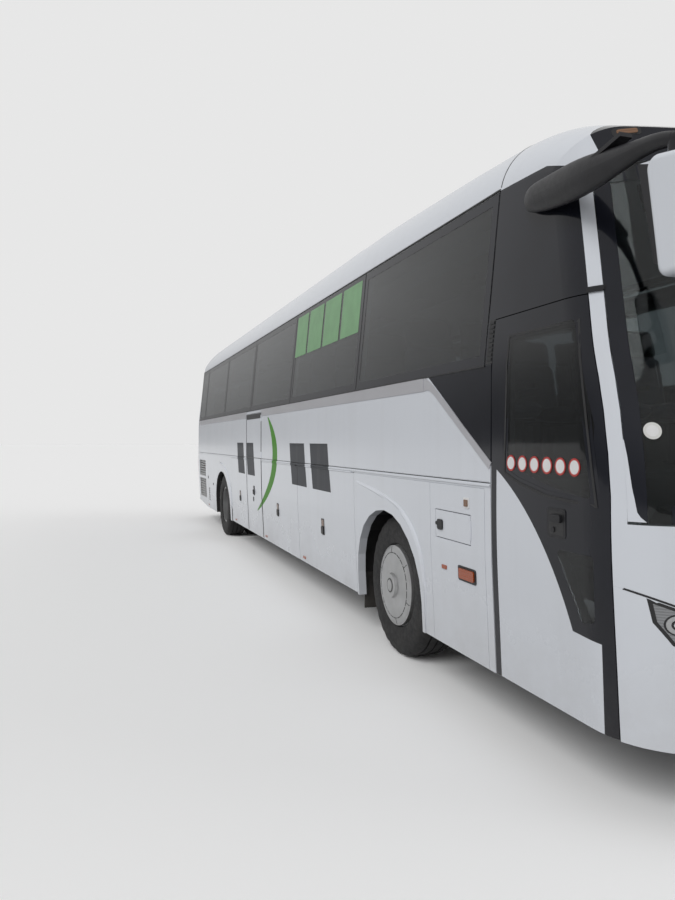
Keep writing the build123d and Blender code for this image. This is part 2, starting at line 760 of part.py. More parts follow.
def grille(s0, s1, z0, z1):
    """Slatted grille in a side wall on +X: a frame with sloping slats."""
    edge = GRILLE_FRAME
    frame = prism_y(side_section(z0, z1, 4, 34), s0, s1)
    frame -= block(900, WIDE, s0 + edge, s1 - edge, z0 + edge, z1 - edge)
    count = round((z1 - z0 - 2 * edge) / SLAT_PITCH)
    pitch = (z1 - z0 - 2 * edge) / count
    for step in range(count):
        z = z0 + edge + pitch * (step + 0.5)
        x = half_width(z)
        slat = ((x - 8, z - 16), (x - 5, z - 12), (x - 29, z + 16), (x - 32, z + 12))
        frame += prism_y(slat, s0 + 10, s1 - 10)
    return frame


# Tail, in rear view: x from and to, height from and to.
REAR_WINDOW = ((-960, 1990), (960, 1990), (900, 2740), (-900, 2740))
ENGINE_DOOR = (-900, 900, 700, 1500)
LOUVRES = 7
LOUVRE_PITCH = 70
LOUVRE_HEIGHT = 36
REAR_BUMPER_TOP = 690
TAIL_LAMP = (1020, WIDE, 800, 1480)


def rect(x0, x1, z0, z1):
    return ((x0, z0), (x1, z0), (x1, z1), (x0, z1))


def rear_zone(points, radius=0):
    """Rear-view outline of (x, height) points as a prism that reaches past the tail."""
    face = make_face(Polyline(*points, close=True))
    if radius:
        face = fillet(face.vertices(), radius)
    return extrude(Pos(0, st(SIDE_END - 300), 0) * (Plane.XZ * face), 1200, dir=(0, 1, 0))


def engine_hinge(gap):
    """Hinge barrels of the engine door, or with a gap the room they turn in."""
    x0, x1 = ENGINE_HINGES
    barrel = rod_x(x0 - 3 * gap, x1 + 3 * gap, ENGINE_HINGE_STATION, ENGINE_DOOR[3], ENGINE_BARREL_R + gap)
    return barrel + flipped(barrel)


def rear_nodes():
    """The tail: wall, window, engine door, bumper and lamps."""
    shell = (rear_shell & block(-WIDE, WIDE, SIDE_END, BEHIND, SKIRT_Z, CANT_Z)) - tail_cut()
    window = rear_zone(REAR_WINDOW, 60)
    x0, x1, z0, z1 = ENGINE_DOOR
    hatch = rear_zone(rect(x0, x1, z0, z1))
    panel = rear_zone(rect(x0 + GAP, x1 - GAP, z0 + GAP, z1 - GAP))
    lamp = rear_zone(rect(*TAIL_LAMP)) & block(0, WIDE, 9800, BEHIND, 0, ABOVE)
    lamps = lamp + flipped(lamp)
    made = {"rear_window": (shell & window) - rear_form(GLASS)}
    made["rear_bumper"] = shell & block(-WIDE, WIDE, SIDE_END, BEHIND, 0, REAR_BUMPER_TOP)
    wall = shell & block(-WIDE, WIDE, SIDE_END, BEHIND, REAR_BUMPER_TOP, CANT_Z)
    wall = wall - window - hatch - lamps
    door = shell & panel
    h0, h1 = ENGINE_HINGES
    bracket = block(h0 - 20, h1 + 20, ENGINE_HINGE_STATION - 38, ENGINE_HINGE_STATION + 11, z1, z1 + 16)
    lug = block(h0, h1, ENGINE_HINGE_STATION - 38, ENGINE_HINGE_STATION, z1 - 20, z1 - SEAT)
    wall = wall + bracket + flipped(bracket)
    door = door + lug + flipped(lug) + engine_hinge(0)
    made["rear_wall"] = wall - engine_hinge(SEAT)
    for row in range(LOUVRES):
        z = z0 + 150 + row * LOUVRE_PITCH
        door -= block(-620, 620, 9900, BEHIND, z, z + LOUVRE_HEIGHT)
    made["engine_door"] = door
    made["tail_lamps"] = (shell & lamps) - rear_form(30)
    return made


def spun(points):
    """Solid of revolution about the X axis, from (x, radius) points."""
    return revolve(make_face(Polyline(*points, close=True)), Axis.X)


def at_axle(shape, station):
    return Pos(0, st(station), TYRE_R) * shape


def tyre(x):
    """Tyre about the axle line at a given x: bead, sidewalls, shoulders and tread."""
    half = TYRE_W / 2
    side = [(half - 32, BEAD_R), (half, TYRE_R - 105), (half - 30, TYRE_R)]
    return spun([(x - dx, r) for dx, r in side] + [(x + dx, r) for dx, r in reversed(side)])


def barrel_rim(x):
    """Drop-centre rim under a tyre at a given x."""
    bead = BEAD_R - SEAT
    low = bead - RIM_WALL
    return spun((
        (x - RIM_HALF, low), (x - RIM_HALF, bead), (x + RIM_HALF, bead), (x + RIM_HALF, low),
    ))


def front_rim():
    """Rim, hub and domed cover of a front wheel, on +X."""
    c = FRONT_TRACK_HALF
    bead = BEAD_R - SEAT
    low = bead - RIM_WALL
    disc = spun(((c + 60, 150), (c + 60, low + 1), (c + 80, low + 1), (c + 80, 150)))
    hub = spun((
        (c - 70, STUB_R + SEAT), (c - 70, 110), (c + 60, 110), (c + 60, 152),
        (c + 80, 152), (c + 80, 0), (c + 68, 0), (c + 68, STUB_R + SEAT),
    ))
    cover = spun((
        (c + 110, bead - 20), (c + 110, bead - 2), (c + 150, bead - 2), (c + 158, bead - 20),
        (c + 164, bead - 60), (c + 172, 90), (c + 190, 84), (c + 192, 0), (c + 180, 0),
        (c + 166, 84), (c + 152, bead - 60), (c + 142, bead - 20),
    ))
    return barrel_rim(c) + disc + hub + cover


def rear_rims():
    """Twin rims with their discs back to back and the hub, on +X."""
    outer = REAR_OUTER_X
    inner = outer - TWIN_SPACING
    middle = (inner + outer) / 2
    low = BEAD_R - SEAT - RIM_WALL - 1
    tube = AXLE_TUBE_R + SEAT
    disc = spun((
        (middle - 60, low), (middle - 60, low + 12), (middle - 20, 200), (middle - 12, 168),
        (middle + 12, 168), (middle + 20, 200), (middle + 60, low + 12), (middle + 60, low),
        (middle + 30, 190), (middle + 14, 80), (middle - 14, 80), (middle - 30, 190),
    ))
    hub = spun((
        (inner - 90, tube), (inner - 90, 105), (middle - 14, 130), (middle + 14, 168),
        (middle + 40, 120), (outer - 20, 100), (outer, 80), (outer, 0), (outer - 14, 0), (outer - 14, tube),
    ))
    return barrel_rim(inner) + barrel_rim(outer) + disc + hub


def knuckle():
    """Steered knuckle on +X: fork, kingpin and stub axle."""
    k = KINGPIN_X
    z = TYRE_R
    part = block(k + 62, k + 92, -60, 60, z - 140, z + 140)
    for z0, z1 in ((z + 81, z + 140), (z - 140, z - 81)):
        part += rod_z(k, 0, z0, z1, 55) + block(k, k + 70, -55, 55, z0, z1)
    part += rod_z(k, 0, z - 140, z + 140, KINGPIN_R)
    part += rod_x(k + 80, FRONT_TRACK_HALF + 66, 0, z, STUB_R)
    return part


def front_axle():
    """Dropped beam between the kingpins."""
    z = TYRE_R
    beam = block(-760, 760, -60, 60, BEAM_TOP - 110, BEAM_TOP)
    for side in (-1, 1):
        x0, x1 = sorted((side * 700, side * (KINGPIN_X - 20)))
        beam += rod_z(side * KINGPIN_X, 0, z - 80, z + 80, 55) + block(x0, x1, -50, 50, z - 75, z + 40)
    for side in (-1, 1):
        beam -= rod_z(side * KINGPIN_X, 0, z - 90, z + 90, KINGPIN_R + SEAT)
    return beam


def rear_axle():
    """Drive axle: tube, bulge of its gears, and the beams that its air springs stand on."""
    half = [(1060, 0), (1060, AXLE_TUBE_R), (560, AXLE_TUBE_R), (560, 85), (260, 85), (170, 150), (90, 205)]
    axle = at_axle(spun([(-x, r) for x, r in half] + half[::-1]), WHEELBASE)
    reach = SPRING_OFFSET + 90
    beam = block(RAIL_X - 60, RAIL_X + 40, WHEELBASE - reach, WHEELBASE + reach, *SPRING_BEAM)
    return axle + beam + flipped(beam)


def bellows(x, station, z0, z1, radius):
    """Air spring: two round folds between two plates."""
    middle = (z0 + z1) / 2
    outline = [(0, z0), (radius * 0.8, z0), (radius, (z0 + middle) / 2), (radius * 0.82, middle),
               (radius, (middle + z1) / 2), (radius * 0.8, z1), (0, z1)]
    face = Plane.XZ * make_face(Polyline(*outline, close=True))
    return Pos(x, st(station), 0) * revolve(face, Axis.Z)


def air_springs():
    """Springs between the axles and the frame rails."""
    springs = both_sides(bellows(RAIL_X + RAIL_W / 2, 0, BEAM_TOP, RAIL_Z, 72))
    for offset in (-SPRING_OFFSET, SPRING_OFFSET):
        springs += both_sides(bellows(RAIL_X + 10, WHEELBASE + offset, SPRING_BEAM[1], RAIL_Z, 84))
    return springs


def wheel_housing(station, radius):
    """Half-round wheel housing with a closed inner side, on +X."""
    legs = BAY_FLOOR_Z + 15
    x0 = HOUSING_INNER_X
    x1 = half_width(legs) - WALL - SEAT
    outer = arch_outline(station, radius + HOUSING_T, TYRE_R + radius + HOUSING_T, legs)
    inner = arch_outline(station, radius, TYRE_R + radius, legs)
    slot = block(x0 - 5, x0 + HOUSING_T + 5, station - 115, station + 115, 0, TYRE_R + 120)
    return prism_x(outer, x0, x1) - prism_x(inner, x0 + HOUSING_T, x1) - slot


def mud_flap(station, radius):
    """Rubber flap behind a wheel, against its housing's rear leg, on +X."""
    rear = station + radius - SEAT
    return block(900, 1180, rear - FLAP_THICK, rear, 190, TYRE_R - 20)


def seat_pair(x0, x1, station):
    """Two seats side by side: cushions, reclined backs and their pedestal, one solid."""
    z = FLOOR_Z + FLOOR_T
    profile = (
        (station, z + 360), (station + 460, z + 330), (station + SEAT_LENGTH, z + 1080),
        (station + 470, z + 1080), (station + 380, z + 470), (station, z + 480),
    )
    seat = prism_x(profile, x0, x1)
    return seat + block(x0 + 60, x1 - 60, station + 120, station + 320, z, z + 365)


def passenger_seats():
    """Rows of paired seats, with none where the second entrance's stairs are."""
    seats = []
    count = int((SIDE_END - 700 - SEAT_START) / SEAT_PITCH) + 1
    for row in range(count):
        station = SEAT_START + row * SEAT_PITCH
        if station + SEAT_LENGTH < MID_DOOR[0] or station > MID_DOOR[1]:
            seats.append(seat_pair(-1145, -250, station))
        seats.append(seat_pair(250, 1145, station))
    return seats


# Mirror arm sections: x, station, height of the middle, width, height.
MIRROR_ARM = (
    (1192, -1668, 2712, 30, 46),
    (1222, -1730, 2704, 66, 112),
    (1248, -1880, 2682, 80, 152),
    (1275, -2110, 2655, 88, 168),
    (1290, -2330, 2638, 82, 138),
    (1298, -2540, 2628, 64, 80),
    (1300, -2740, 2596, 54, 54),
)
MIRROR_TIP = -FRONT_OVERHANG - MIRROR_AHEAD
MIRROR_HEAD = ((MIRROR_TIP, 2092), (MIRROR_TIP, 2500), (-2702, 2536), (-2772, 2092))
MIRROR_HEAD_X = (1160, 1410)
MIRROR_RIM = ((-2770, 2140), (-2740, 2510), (-2662, 2520), (-2748, 2150))
MIRROR_RIM_X = (1178, 1397)
NECK_R = 26


def mirror_piece():
    """Horn-shaped mirror arm with its pad, neck and head, on +X, rooted on the roof's side."""
    sections = []
    for x, station, z, width, height in MIRROR_ARM:
        sections.append(Pos(x, st(station), z) * (Plane.XZ * Ellipse(width / 2, height / 2)))
    arm = loft(sections)
    arm = arm - front_form(-SEAT)
    pad = Pos(1291, st(-2385), 2697) * Rot(-11, 0, 0) * Box(58, 190, 18)
    head = prism_x(MIRROR_HEAD, *MIRROR_HEAD_X, 45)
    for side in (0, -1):
        head = fillet(head.faces().sort_by(Axis.X)[side].edges(), 24)
    x, station, z, _, _ = MIRROR_ARM[-1]
    neck = rod_z(x, station, MIRROR_HEAD[1][1] - 20, z, NECK_R) + Pos(x, st(station), z) * Sphere(NECK_R)
    return arm + pad + neck + head + prism_x(MIRROR_RIM, *MIRROR_RIM_X, 8)


# Wiper outlines in front view, on the entrance side: blade, then arm.
WIPER_BLADE = ((-1010, 1300), (-90, 1262), (-90, 1286), (-1010, 1324))
WIPER_ARM = ((-120, 1150), (-90, 1170), (-520, 1300), (-560, 1284))
WIPER_SHIFT = 1040


def wipers():
    """Two wipers parked along the foot of the windscreen, following its bow."""
    layer = front_form(-26) - front_form(-SEAT)
    made = []
    for shift in (0, WIPER_SHIFT):
        zone = prism_y([(x + shift, z) for x, z in WIPER_BLADE], AHEAD, -2000)
        zone += prism_y([(x + shift, z) for x, z in WIPER_ARM], AHEAD, -2000)
        made.append(layer & zone)
    return made


TOW_BORE_R = 20
TOW_HEIGHT = (640, 680)


def tow_bracket(face, direction):
    """Towing bracket with an upright pin bore, against a cross member's outer face."""
    s0, s1 = sorted((face, face + direction * 90))
    bore = face + direction * 50
    lug = block(-60, 60, s0, s1, *TOW_HEIGHT)
    return lug - rod_z(0, bore, TOW_HEIGHT[0] - 5, TOW_HEIGHT[1] + 5, TOW_BORE_R)


FRAME_ENDS = (-2600, 9740)


def chassis_frame():
    """Two ladder frames, ahead of and behind the luggage bay."""
    frame = None
    for s0, s1 in ((FRAME_ENDS[0], BAY_FRONT + SHEET), (BAY_REAR - SHEET, FRAME_ENDS[1])):
        rail = block(RAIL_X, RAIL_X + RAIL_W, s0, s1, RAIL_Z, RAIL_Z + RAIL_H)
        pair = rail + flipped(rail)
        frame = pair if frame is None else frame + pair
    first, last = FRAME_ENDS
    for station in (first, -1500, -700, BAY_FRONT - 56, BAY_REAR + SHEET, 7700, 8350, last - 40):
        frame += block(-RAIL_X, RAIL_X, station, station + 40, RAIL_Z + 20, RAIL_Z + 160)
    return frame


def luggage_bay():
    """Luggage floor with its end walls and the stairwell of the second entrance."""
    s0, s1 = BAY_FRONT + SHEET, BAY_REAR - SHEET
    bay = block(-BAY_HALF, BAY_HALF, s0, s1, BAY_FLOOR_Z - SHEET, BAY_FLOOR_Z)
    for start in (s0, s1 - SHEET):
        bay += block(-BAY_HALF, BAY_HALF, start, start + SHEET, BAY_FLOOR_Z, FLOOR_Z)
    front, rear = MID_DOOR
    for start in (front - SHEET, rear):
        bay += block(-BAY_HALF, -STAIR_INNER_X, start, start + SHEET, BAY_FLOOR_Z, FLOOR_Z)
    bay += block(-STAIR_INNER_X, SHEET - STAIR_INNER_X, front - SHEET, rear + SHEET, BAY_FLOOR_Z, FLOOR_Z)
    going = (BAY_HALF - STAIR_INNER_X) / len(STAIR_STEPS)
    for index, z in enumerate(STAIR_STEPS):
        bay += block(-BAY_HALF + index * going, -STAIR_INNER_X, front, rear, z - STEP_T, z)
    return bay


def floor_deck():
    """Passenger floor between the side walls, open over the stairwell."""
    half = half_width(FLOOR_Z) - WALL - SEAT
    floor = block(-half, half, -1300, SIDE_END, FLOOR_Z, FLOOR_Z + FLOOR_T)
    return floor - block(-half - 10, -STAIR_INNER_X, *MID_DOOR, 0, ABOVE)


def cab_floor():
    """Driver's floor, the step up to the saloon and the steps of the front entrance."""
    half = half_width(CAB_FLOOR_Z) - WALL - 60
    inner = -535
    floor = block(inner, half, -2250, -1300, CAB_FLOOR_Z, CAB_FLOOR_Z + 30)
    floor += block(inner, 700, -2520, -2250, CAB_FLOOR_Z, CAB_FLOOR_Z + 30)
    floor += block(inner, half, -1330, -1300, CAB_FLOOR_Z, FLOOR_Z)
    for index, z in enumerate(CAB_STEPS):
        floor += block(-1165 + index * 225, inner + STEP_T, -2250, -1560, z, z + STEP_T)
    return floor + block(inner, inner + STEP_T, -2250, -1560, CAB_STEPS[0], CAB_FLOOR_Z)


def driver_seat():
    seat = prism_x(
        ((-2000, 1330), (-1540, 1290), (-1440, 2050), (-1530, 2060), (-1620, 1440), (-2000, 1450)), 500, 1000)
    return seat + block(620, 880, -1900, -1640, CAB_FLOOR_Z + 30, 1330)


def dashboard():
    top = ((-2480, 1180), (-2230, 1250), (-2180, 1180))
    return prism_x(top + ((-2260, CAB_FLOOR_Z + 30), (-2400, CAB_FLOOR_Z + 30)), -900, 950)


def steering_wheel(dash):
    """Steering wheel with two spokes and the column down to the dashboard."""
    plane = Plane(origin=(750, st(-2130), 1330), z_dir=(0, 0.45, 1))
    wheel = plane * Torus(225, 16) + plane * Box(430, 40, 20)
    column = plane * Pos(0, 0, -110) * Cylinder(28, 230)
    return (wheel + column) - dash


AIR_UNIT = (820, 3300, 6300)


def roof_air_unit():
    """Air conditioning unit, shaped to the crown that it sits on."""
    half, s0, s1 = AIR_UNIT
    unit = block(-half, half, s0, s1, OVERALL_HEIGHT - 330, OVERALL_HEIGHT)
    unit = chamfer(unit.faces().sort_by(Axis.Z)[-1].edges(), 110)
    plain = ((s0, *ROOF_PLAIN), (s1, *ROOF_PLAIN))
    return unit - roof_form(plain, (s0 - 300, s1 + 300), 0)


nodes = front_nodes()
driver_window = nodes.pop("driver_window")
nodes.update(rear_nodes())
nodes["roof_panel"] = roof_panel()
nodes["side_wall_left"] = side_wall(LUGGAGE_LEFT, False)
nodes["side_wall_right"] = flipped(side_wall(LUGGAGE_RIGHT, True))
nodes["quarter_panels"] = both_sides(quarter_panel())
panes = side_panes()
nodes["side_glass"] = panes + [flipped(pane) for pane in panes] + [driver_window]
strip_start = QUARTER_TOP[0] + 60
strip_ends = ((strip_start, MID_DOOR[0] - BARREL_R - GAP), (MID_DOOR[1] + GAP, SIDE_END))
nodes["belt_strips"] = [flipped(belt_strip(*ends)) for ends in strip_ends]
nodes["belt_strips"].append(belt_strip(strip_start, SIDE_END))

for index, ends in enumerate(LUGGAGE_RIGHT, start=1):
    nodes[f"luggage_door_right_{index}"] = flipped(luggage_door(*ends))
for index, ends in enumerate(LUGGAGE_LEFT, start=1):
    nodes[f"luggage_door_left_{index}"] = luggage_door(*ends)
nodes["mid_door"] = flipped(mid_door())
nodes["service_flap_left"] = service_flap()
nodes["service_flap_right"] = flipped(service_flap())
grilles = [grille(*GRILLE_STATIONS, z0, z1) for z0, z1 in GRILLE_ROWS]
nodes["side_grilles"] = grilles + [flipped(piece) for piece in grilles]

nodes["floor_deck"] = floor_deck()
nodes["cab_floor"] = cab_floor()
nodes["luggage_bay"] = luggage_bay()
nodes["chassis_frame"] = chassis_frame()
nodes["engine_block"] = block(*ENGINE)
nodes["tow_brackets"] = [tow_bracket(FRAME_ENDS[0], -1), tow_bracket(FRAME_ENDS[1], 1)]
nodes["wheel_housings"] = both_sides(wheel_housing(ARCH_STATION, HOUSING_R))
nodes["wheel_housings"] += both_sides(wheel_housing(WHEELBASE, REAR_HOUSING_R))
nodes["mud_flaps"] = both_sides(mud_flap(ARCH_STATION, HOUSING_R))
nodes["mud_flaps"] += both_sides(mud_flap(WHEELBASE, REAR_HOUSING_R))
nodes["front_axle"] = front_axle()
nodes["rear_axle"] = rear_axle()
nodes["air_springs"] = air_springs()

for name, turn in (("left", lambda shape: shape), ("right", flipped)):
    nodes[f"knuckle_{name}"] = turn(knuckle())
    nodes[f"front_tyre_{name}"] = turn(at_axle(tyre(FRONT_TRACK_HALF), 0))
    nodes[f"front_rim_{name}"] = turn(at_axle(front_rim(), 0))
    nodes[f"rear_rims_{name}"] = turn(at_axle(rear_rims(), WHEELBASE))
    twins = [at_axle(tyre(x), WHEELBASE) for x in (REAR_OUTER_X, REAR_OUTER_X - TWIN_SPACING)]
    nodes[f"rear_tyres_{name}"] = [turn(twin) for twin in twins]

nodes["front_door_arms"] = door_arms()
nodes["mirrors"] = both_sides(mirror_piece())
nodes["wipers"] = wipers()
nodes["passenger_seats"] = passenger_seats()
nodes["driver_seat"] = driver_seat()
nodes["dashboard"] = dashboard()
nodes["steering_wheel"] = steering_wheel(nodes["dashboard"])
nodes["roof_air_unit"] = roof_air_unit()

os.makedirs("parts", exist_ok=True)
for node, shape in nodes.items():
    pieces = shape if isinstance(shape, list) else [shape]
    solids = [solid for piece in pieces for solid in piece.solids()]
    export_step(solids[0] if len(solids) == 1 else Compound(children=solids), f"parts/{node}.step")
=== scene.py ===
import json
import math
from functools import cached_property, partial

import bpy
import bmesh
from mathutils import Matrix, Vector


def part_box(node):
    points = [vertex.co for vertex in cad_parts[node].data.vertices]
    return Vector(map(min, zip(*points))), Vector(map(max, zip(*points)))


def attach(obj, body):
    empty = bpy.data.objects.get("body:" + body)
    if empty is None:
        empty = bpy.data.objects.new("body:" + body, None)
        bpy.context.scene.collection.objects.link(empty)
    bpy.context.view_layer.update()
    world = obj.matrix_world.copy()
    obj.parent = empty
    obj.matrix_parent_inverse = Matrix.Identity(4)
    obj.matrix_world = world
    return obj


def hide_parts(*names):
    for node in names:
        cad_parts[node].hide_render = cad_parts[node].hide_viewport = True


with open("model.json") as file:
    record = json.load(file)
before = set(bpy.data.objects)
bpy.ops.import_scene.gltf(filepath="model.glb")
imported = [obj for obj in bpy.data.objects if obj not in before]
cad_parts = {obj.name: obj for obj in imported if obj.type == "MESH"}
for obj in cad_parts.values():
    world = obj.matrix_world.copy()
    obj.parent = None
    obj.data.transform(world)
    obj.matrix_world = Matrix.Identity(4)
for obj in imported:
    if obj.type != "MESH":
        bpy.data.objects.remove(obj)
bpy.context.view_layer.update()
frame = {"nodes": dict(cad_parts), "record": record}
nodes = frame["nodes"]
scene = bpy.context.scene

# The coach's own sizes, in metres. A station is a distance behind the front axle.
rim_low, rim_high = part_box("front_rim_left")
AXLE_Y = (rim_low.y + rim_high.y) / 2
SIDE_PROFILE = ((0.31, 1.238), (0.9, 1.268), (1.31, 1.275), (1.93, 1.272), (2.87, 1.179))
# Either end: rows of height, half width and reach from the axle, then the radii of its corner and its bow.
FRONT_CORNER = 0.38
FRONT_END = (((0.25, 1.235, 2.855), (0.9, 1.268, 2.862), (1.31, 1.275, 2.855), (1.48, 1.2742, 2.837),
              (1.66, 1.2733, 2.808), (1.8, 1.2726, 2.777), (1.93, 1.272, 2.741), (2.06, 1.2591, 2.697),
              (2.268, 1.2386, 2.625), (3.45, 1.1216, 2.224)), FRONT_CORNER, 2.0)
REAR_END = (((0.25, 1.235, 10.105), (0.9, 1.268, 10.138), (1.31, 1.275, 10.13), (1.93, 1.272, 10.05),
             (2.6, 1.2057, 9.945), (3.45, 1.1216, 9.77)), 0.26, 7.0)
STRAIGHT = (-1.45, 9.64)
WHEELBASE = 7.0
WHEEL_Z = 0.5
FRONT_WHEEL_X = 1.045
REAR_WHEEL_X = (1.088, 0.748)
WINDOWS = (-1.387, 0.62, 2.67, 4.71, 6.78, 8.9, 9.64)
BELT = 1.93
CANT = 2.87


def st(station):
    """The row frame's y of a station."""
    return AXLE_Y + station


def between(table, key):
    """Row of a table for a key between, or past, the first column's values."""
    for low, high in zip(table, table[1:]):
        if key <= high[0] or high is table[-1]:
            share = (key - low[0]) / (high[0] - low[0])
            return [a + (b - a) * share for a, b in zip(low, high)]


def end_at(end, z):
    """Half width and reach of an end at a height, and how far along its corner's middle is."""
    form, corner, bow = end
    _, half, reach = between(form, z)
    return half, reach, reach - bow + math.sqrt((bow - corner) ** 2 - (half - corner) ** 2)


def end_half_width(end, along, z, depth):
    half, _, middle = end_at(end, z)
    past = along - middle
    if past <= 0:
        return half - depth
    r = end[1] - depth
    return half - end[1] + math.sqrt(max(r * r - past * past, 0.0))


def end_reach(end, x, z, depth):
    _, corner, bow = end
    half, reach, middle = end_at(end, z)
    x = abs(x)
    if x <= (half - corner) * bow / (bow - corner):
        r = bow - depth
        return reach - bow + math.sqrt(r * r - x * x)
    r = corner - depth
    past = x - (half - corner)
    return middle + math.sqrt(max(r * r - past * past, 0.0))


def on_side(sign, station, z, depth):
    """Point on the side skin, depth below it."""
    if station < STRAIGHT[0]:
        x = end_half_width(FRONT_END, -station, z, depth)
    elif station > STRAIGHT[1]:
        x = end_half_width(REAR_END, station, z, depth)
    else:
        x = between(SIDE_PROFILE, z)[1] - depth
    return Vector((sign * x, st(station), z))


def on_end(end, sign, x, z, depth):
    return Vector((x, st(sign * end_reach(end, x, z, depth)), z))


def on_corner(sign, turn, z, depth):
    """Point on the front corner, a turn in degrees round from the side."""
    half, _, along = end_at(FRONT_END, z)
    out, ahead = polar(FRONT_CORNER - depth, turn)
    return Vector((sign * (half - FRONT_CORNER + out), st(-along - ahead), z))


on_right, on_left = SIDES = partial(on_side, -1), partial(on_side, 1)
on_front, on_rear = partial(on_end, FRONT_END, -1), partial(on_end, REAR_END, 1)
right_corner, left_corner = CORNERS = partial(on_corner, -1), partial(on_corner, 1)


# Materials.


def scaled(color, factor):
    return tuple(min(1.0, c * factor) for c in color)


class Tree:
    """Shader nodes, made one call at a time."""

    def __init__(self, tree):
        self.tree = tree

    def add(self, kind, **fields):
        node = self.tree.nodes.new(kind)
        for key, value in fields.items():
            setattr(node, key, value)
        return node

    def put(self, source, socket):
        """Links an output, or writes a value, to an input."""
        if isinstance(source, bpy.types.NodeSocket):
            self.tree.links.new(source, socket)
        else:
            socket.default_value = source

    def math(self, operation, a, b=0.0, c=0.0, clamp=False):
        node = self.add("ShaderNodeMath", operation=operation, use_clamp=clamp)
        for socket, value in zip(node.inputs, (a, b, c)):
            self.put(value, socket)
        return node.outputs[0]

    def product(self, first, *others):
        for other in others:
            first = self.math("MULTIPLY", first, other)
        return first

    def within(self, value, low, high):
        """One where a value lies between two limits, nought elsewhere."""
        return self.math("COMPARE", value, (low + high) / 2, (high - low) / 2)

    def span(self, value, low, high, out_low=0.0, out_high=1.0):
        """A value's run between two limits turned into another run, and held at its ends."""
        node = self.add("ShaderNodeMapRange", clamp=True)
        for socket, item in zip(node.inputs, (value, low, high, out_low, out_high)):
            self.put(item, socket)
        return node.outputs[0]

    def split(self, vector):
        node = self.add("ShaderNodeSeparateXYZ")
        self.put(vector, node.inputs[0])
        return node.outputs


class Graph(Tree):
    """A material's nodes."""

    def __init__(self, name, color, **sockets):
        self.material = bpy.data.materials.new(name)
        self.material.use_nodes = True
        super().__init__(self.material.node_tree)
        self.shader = self.tree.nodes["Principled BSDF"]
        self.shader.inputs["Base Color"].default_value = (*color, 1.0)
        for socket, value in sockets.items():
            self.shader.inputs[socket.replace("_", " ")].default_value = value
        self.place = self.add("ShaderNodeTexCoord").outputs["Object"]

    @cached_property
    def axes(self):
        return self.split(self.place)

    def noise(self, scale, detail=4.0, rough=0.55, stretch=None):
        node = self.add("ShaderNodeTexNoise")
        source = self.place
        if stretch:
            mapping = self.add("ShaderNodeMapping")
            mapping.inputs["Scale"].default_value = stretch
            self.put(self.place, mapping.inputs[0])
            source = mapping.outputs[0]
        self.put(source, node.inputs["Vector"])
        node.inputs["Scale"].default_value = scale
        node.inputs["Detail"].default_value = detail
        node.inputs["Roughness"].default_value = rough
        return node.outputs["Fac"]

    def wave(self, direction, scale):
        node = self.add("ShaderNodeTexWave", wave_type="BANDS", bands_direction=direction)
        self.put(self.place, node.inputs["Vector"])
        node.inputs["Scale"].default_value = scale
        return node.outputs["Fac"]

    def mix(self, share, a, b):
        node = self.add("ShaderNodeMix", data_type="RGBA")
        self.put(share, node.inputs[0])
        for socket, item in zip(node.inputs[6:8], (a, b)):
            self.put(item if isinstance(item, bpy.types.NodeSocket) else (*item, 1.0), socket)
        return node.outputs[2]

    def color(self, source):
        self.put(source, self.shader.inputs["Base Color"])

    def rough(self, source):
        self.put(source, self.shader.inputs["Roughness"])

    def bump(self, height, strength=0.2, distance=0.001):
        node = self.add("ShaderNodeBump")
        node.inputs["Strength"].default_value = strength
        node.inputs["Distance"].default_value = distance
        self.put(height, node.inputs["Height"])
        self.put(node.outputs[0], self.shader.inputs["Normal"])


def varied(name, color, rough, spread=0.12, scale=6.0, bump=0.0, bump_scale=300.0, dust=0.0, **sockets):
    """A material whose colour and roughness vary, with fine bump and dust low down."""
    g = Graph(name, color, **sockets)
    shade = g.mix(g.span(g.noise(scale), 0.3, 0.7), scaled(color, 1 - spread), scaled(color, 1 + spread))
    if dust:
        low = g.product(g.span(g.axes[2], 0.95, 0.1), g.span(g.noise(3.0, 8.0, 0.7), 0.3, 0.75), dust)
        shade = g.mix(low, shade, (0.22, 0.2, 0.175))
    g.color(shade)
    g.rough(g.span(g.noise(scale * 4), 0.2, 0.8, rough * 0.85, min(1.0, rough * 1.15)))
    if bump:
        g.bump(g.noise(bump_scale, 2.0), bump)
    return g.material


WHITE = (0.62, 0.645, 0.69)
GREY_INK = (0.035, 0.038, 0.045)
GREEN_INK = (0.055, 0.22, 0.012)
ROAD_DUST = (0.33, 0.315, 0.29)

# What is drawn on the right side: bars by first and last station, pitch and width, and a bowed green arc.
INK_X = -1.215
BARS = ((4.2, 5.5, 0.66, 0.46), (1.02, 2.52, 0.76, 0.56))
BARS_Z, BARS_LEAN = (1.08, 1.51), -0.22
ARC_Z, ARC_HALF_TALL, ARC_HALF_WIDE, ARC_TAPER = 1.23, 0.59, 0.115, -0.095
BOW_STATION, BOW_Z, BOW = 3.33, 1.38, 1.87


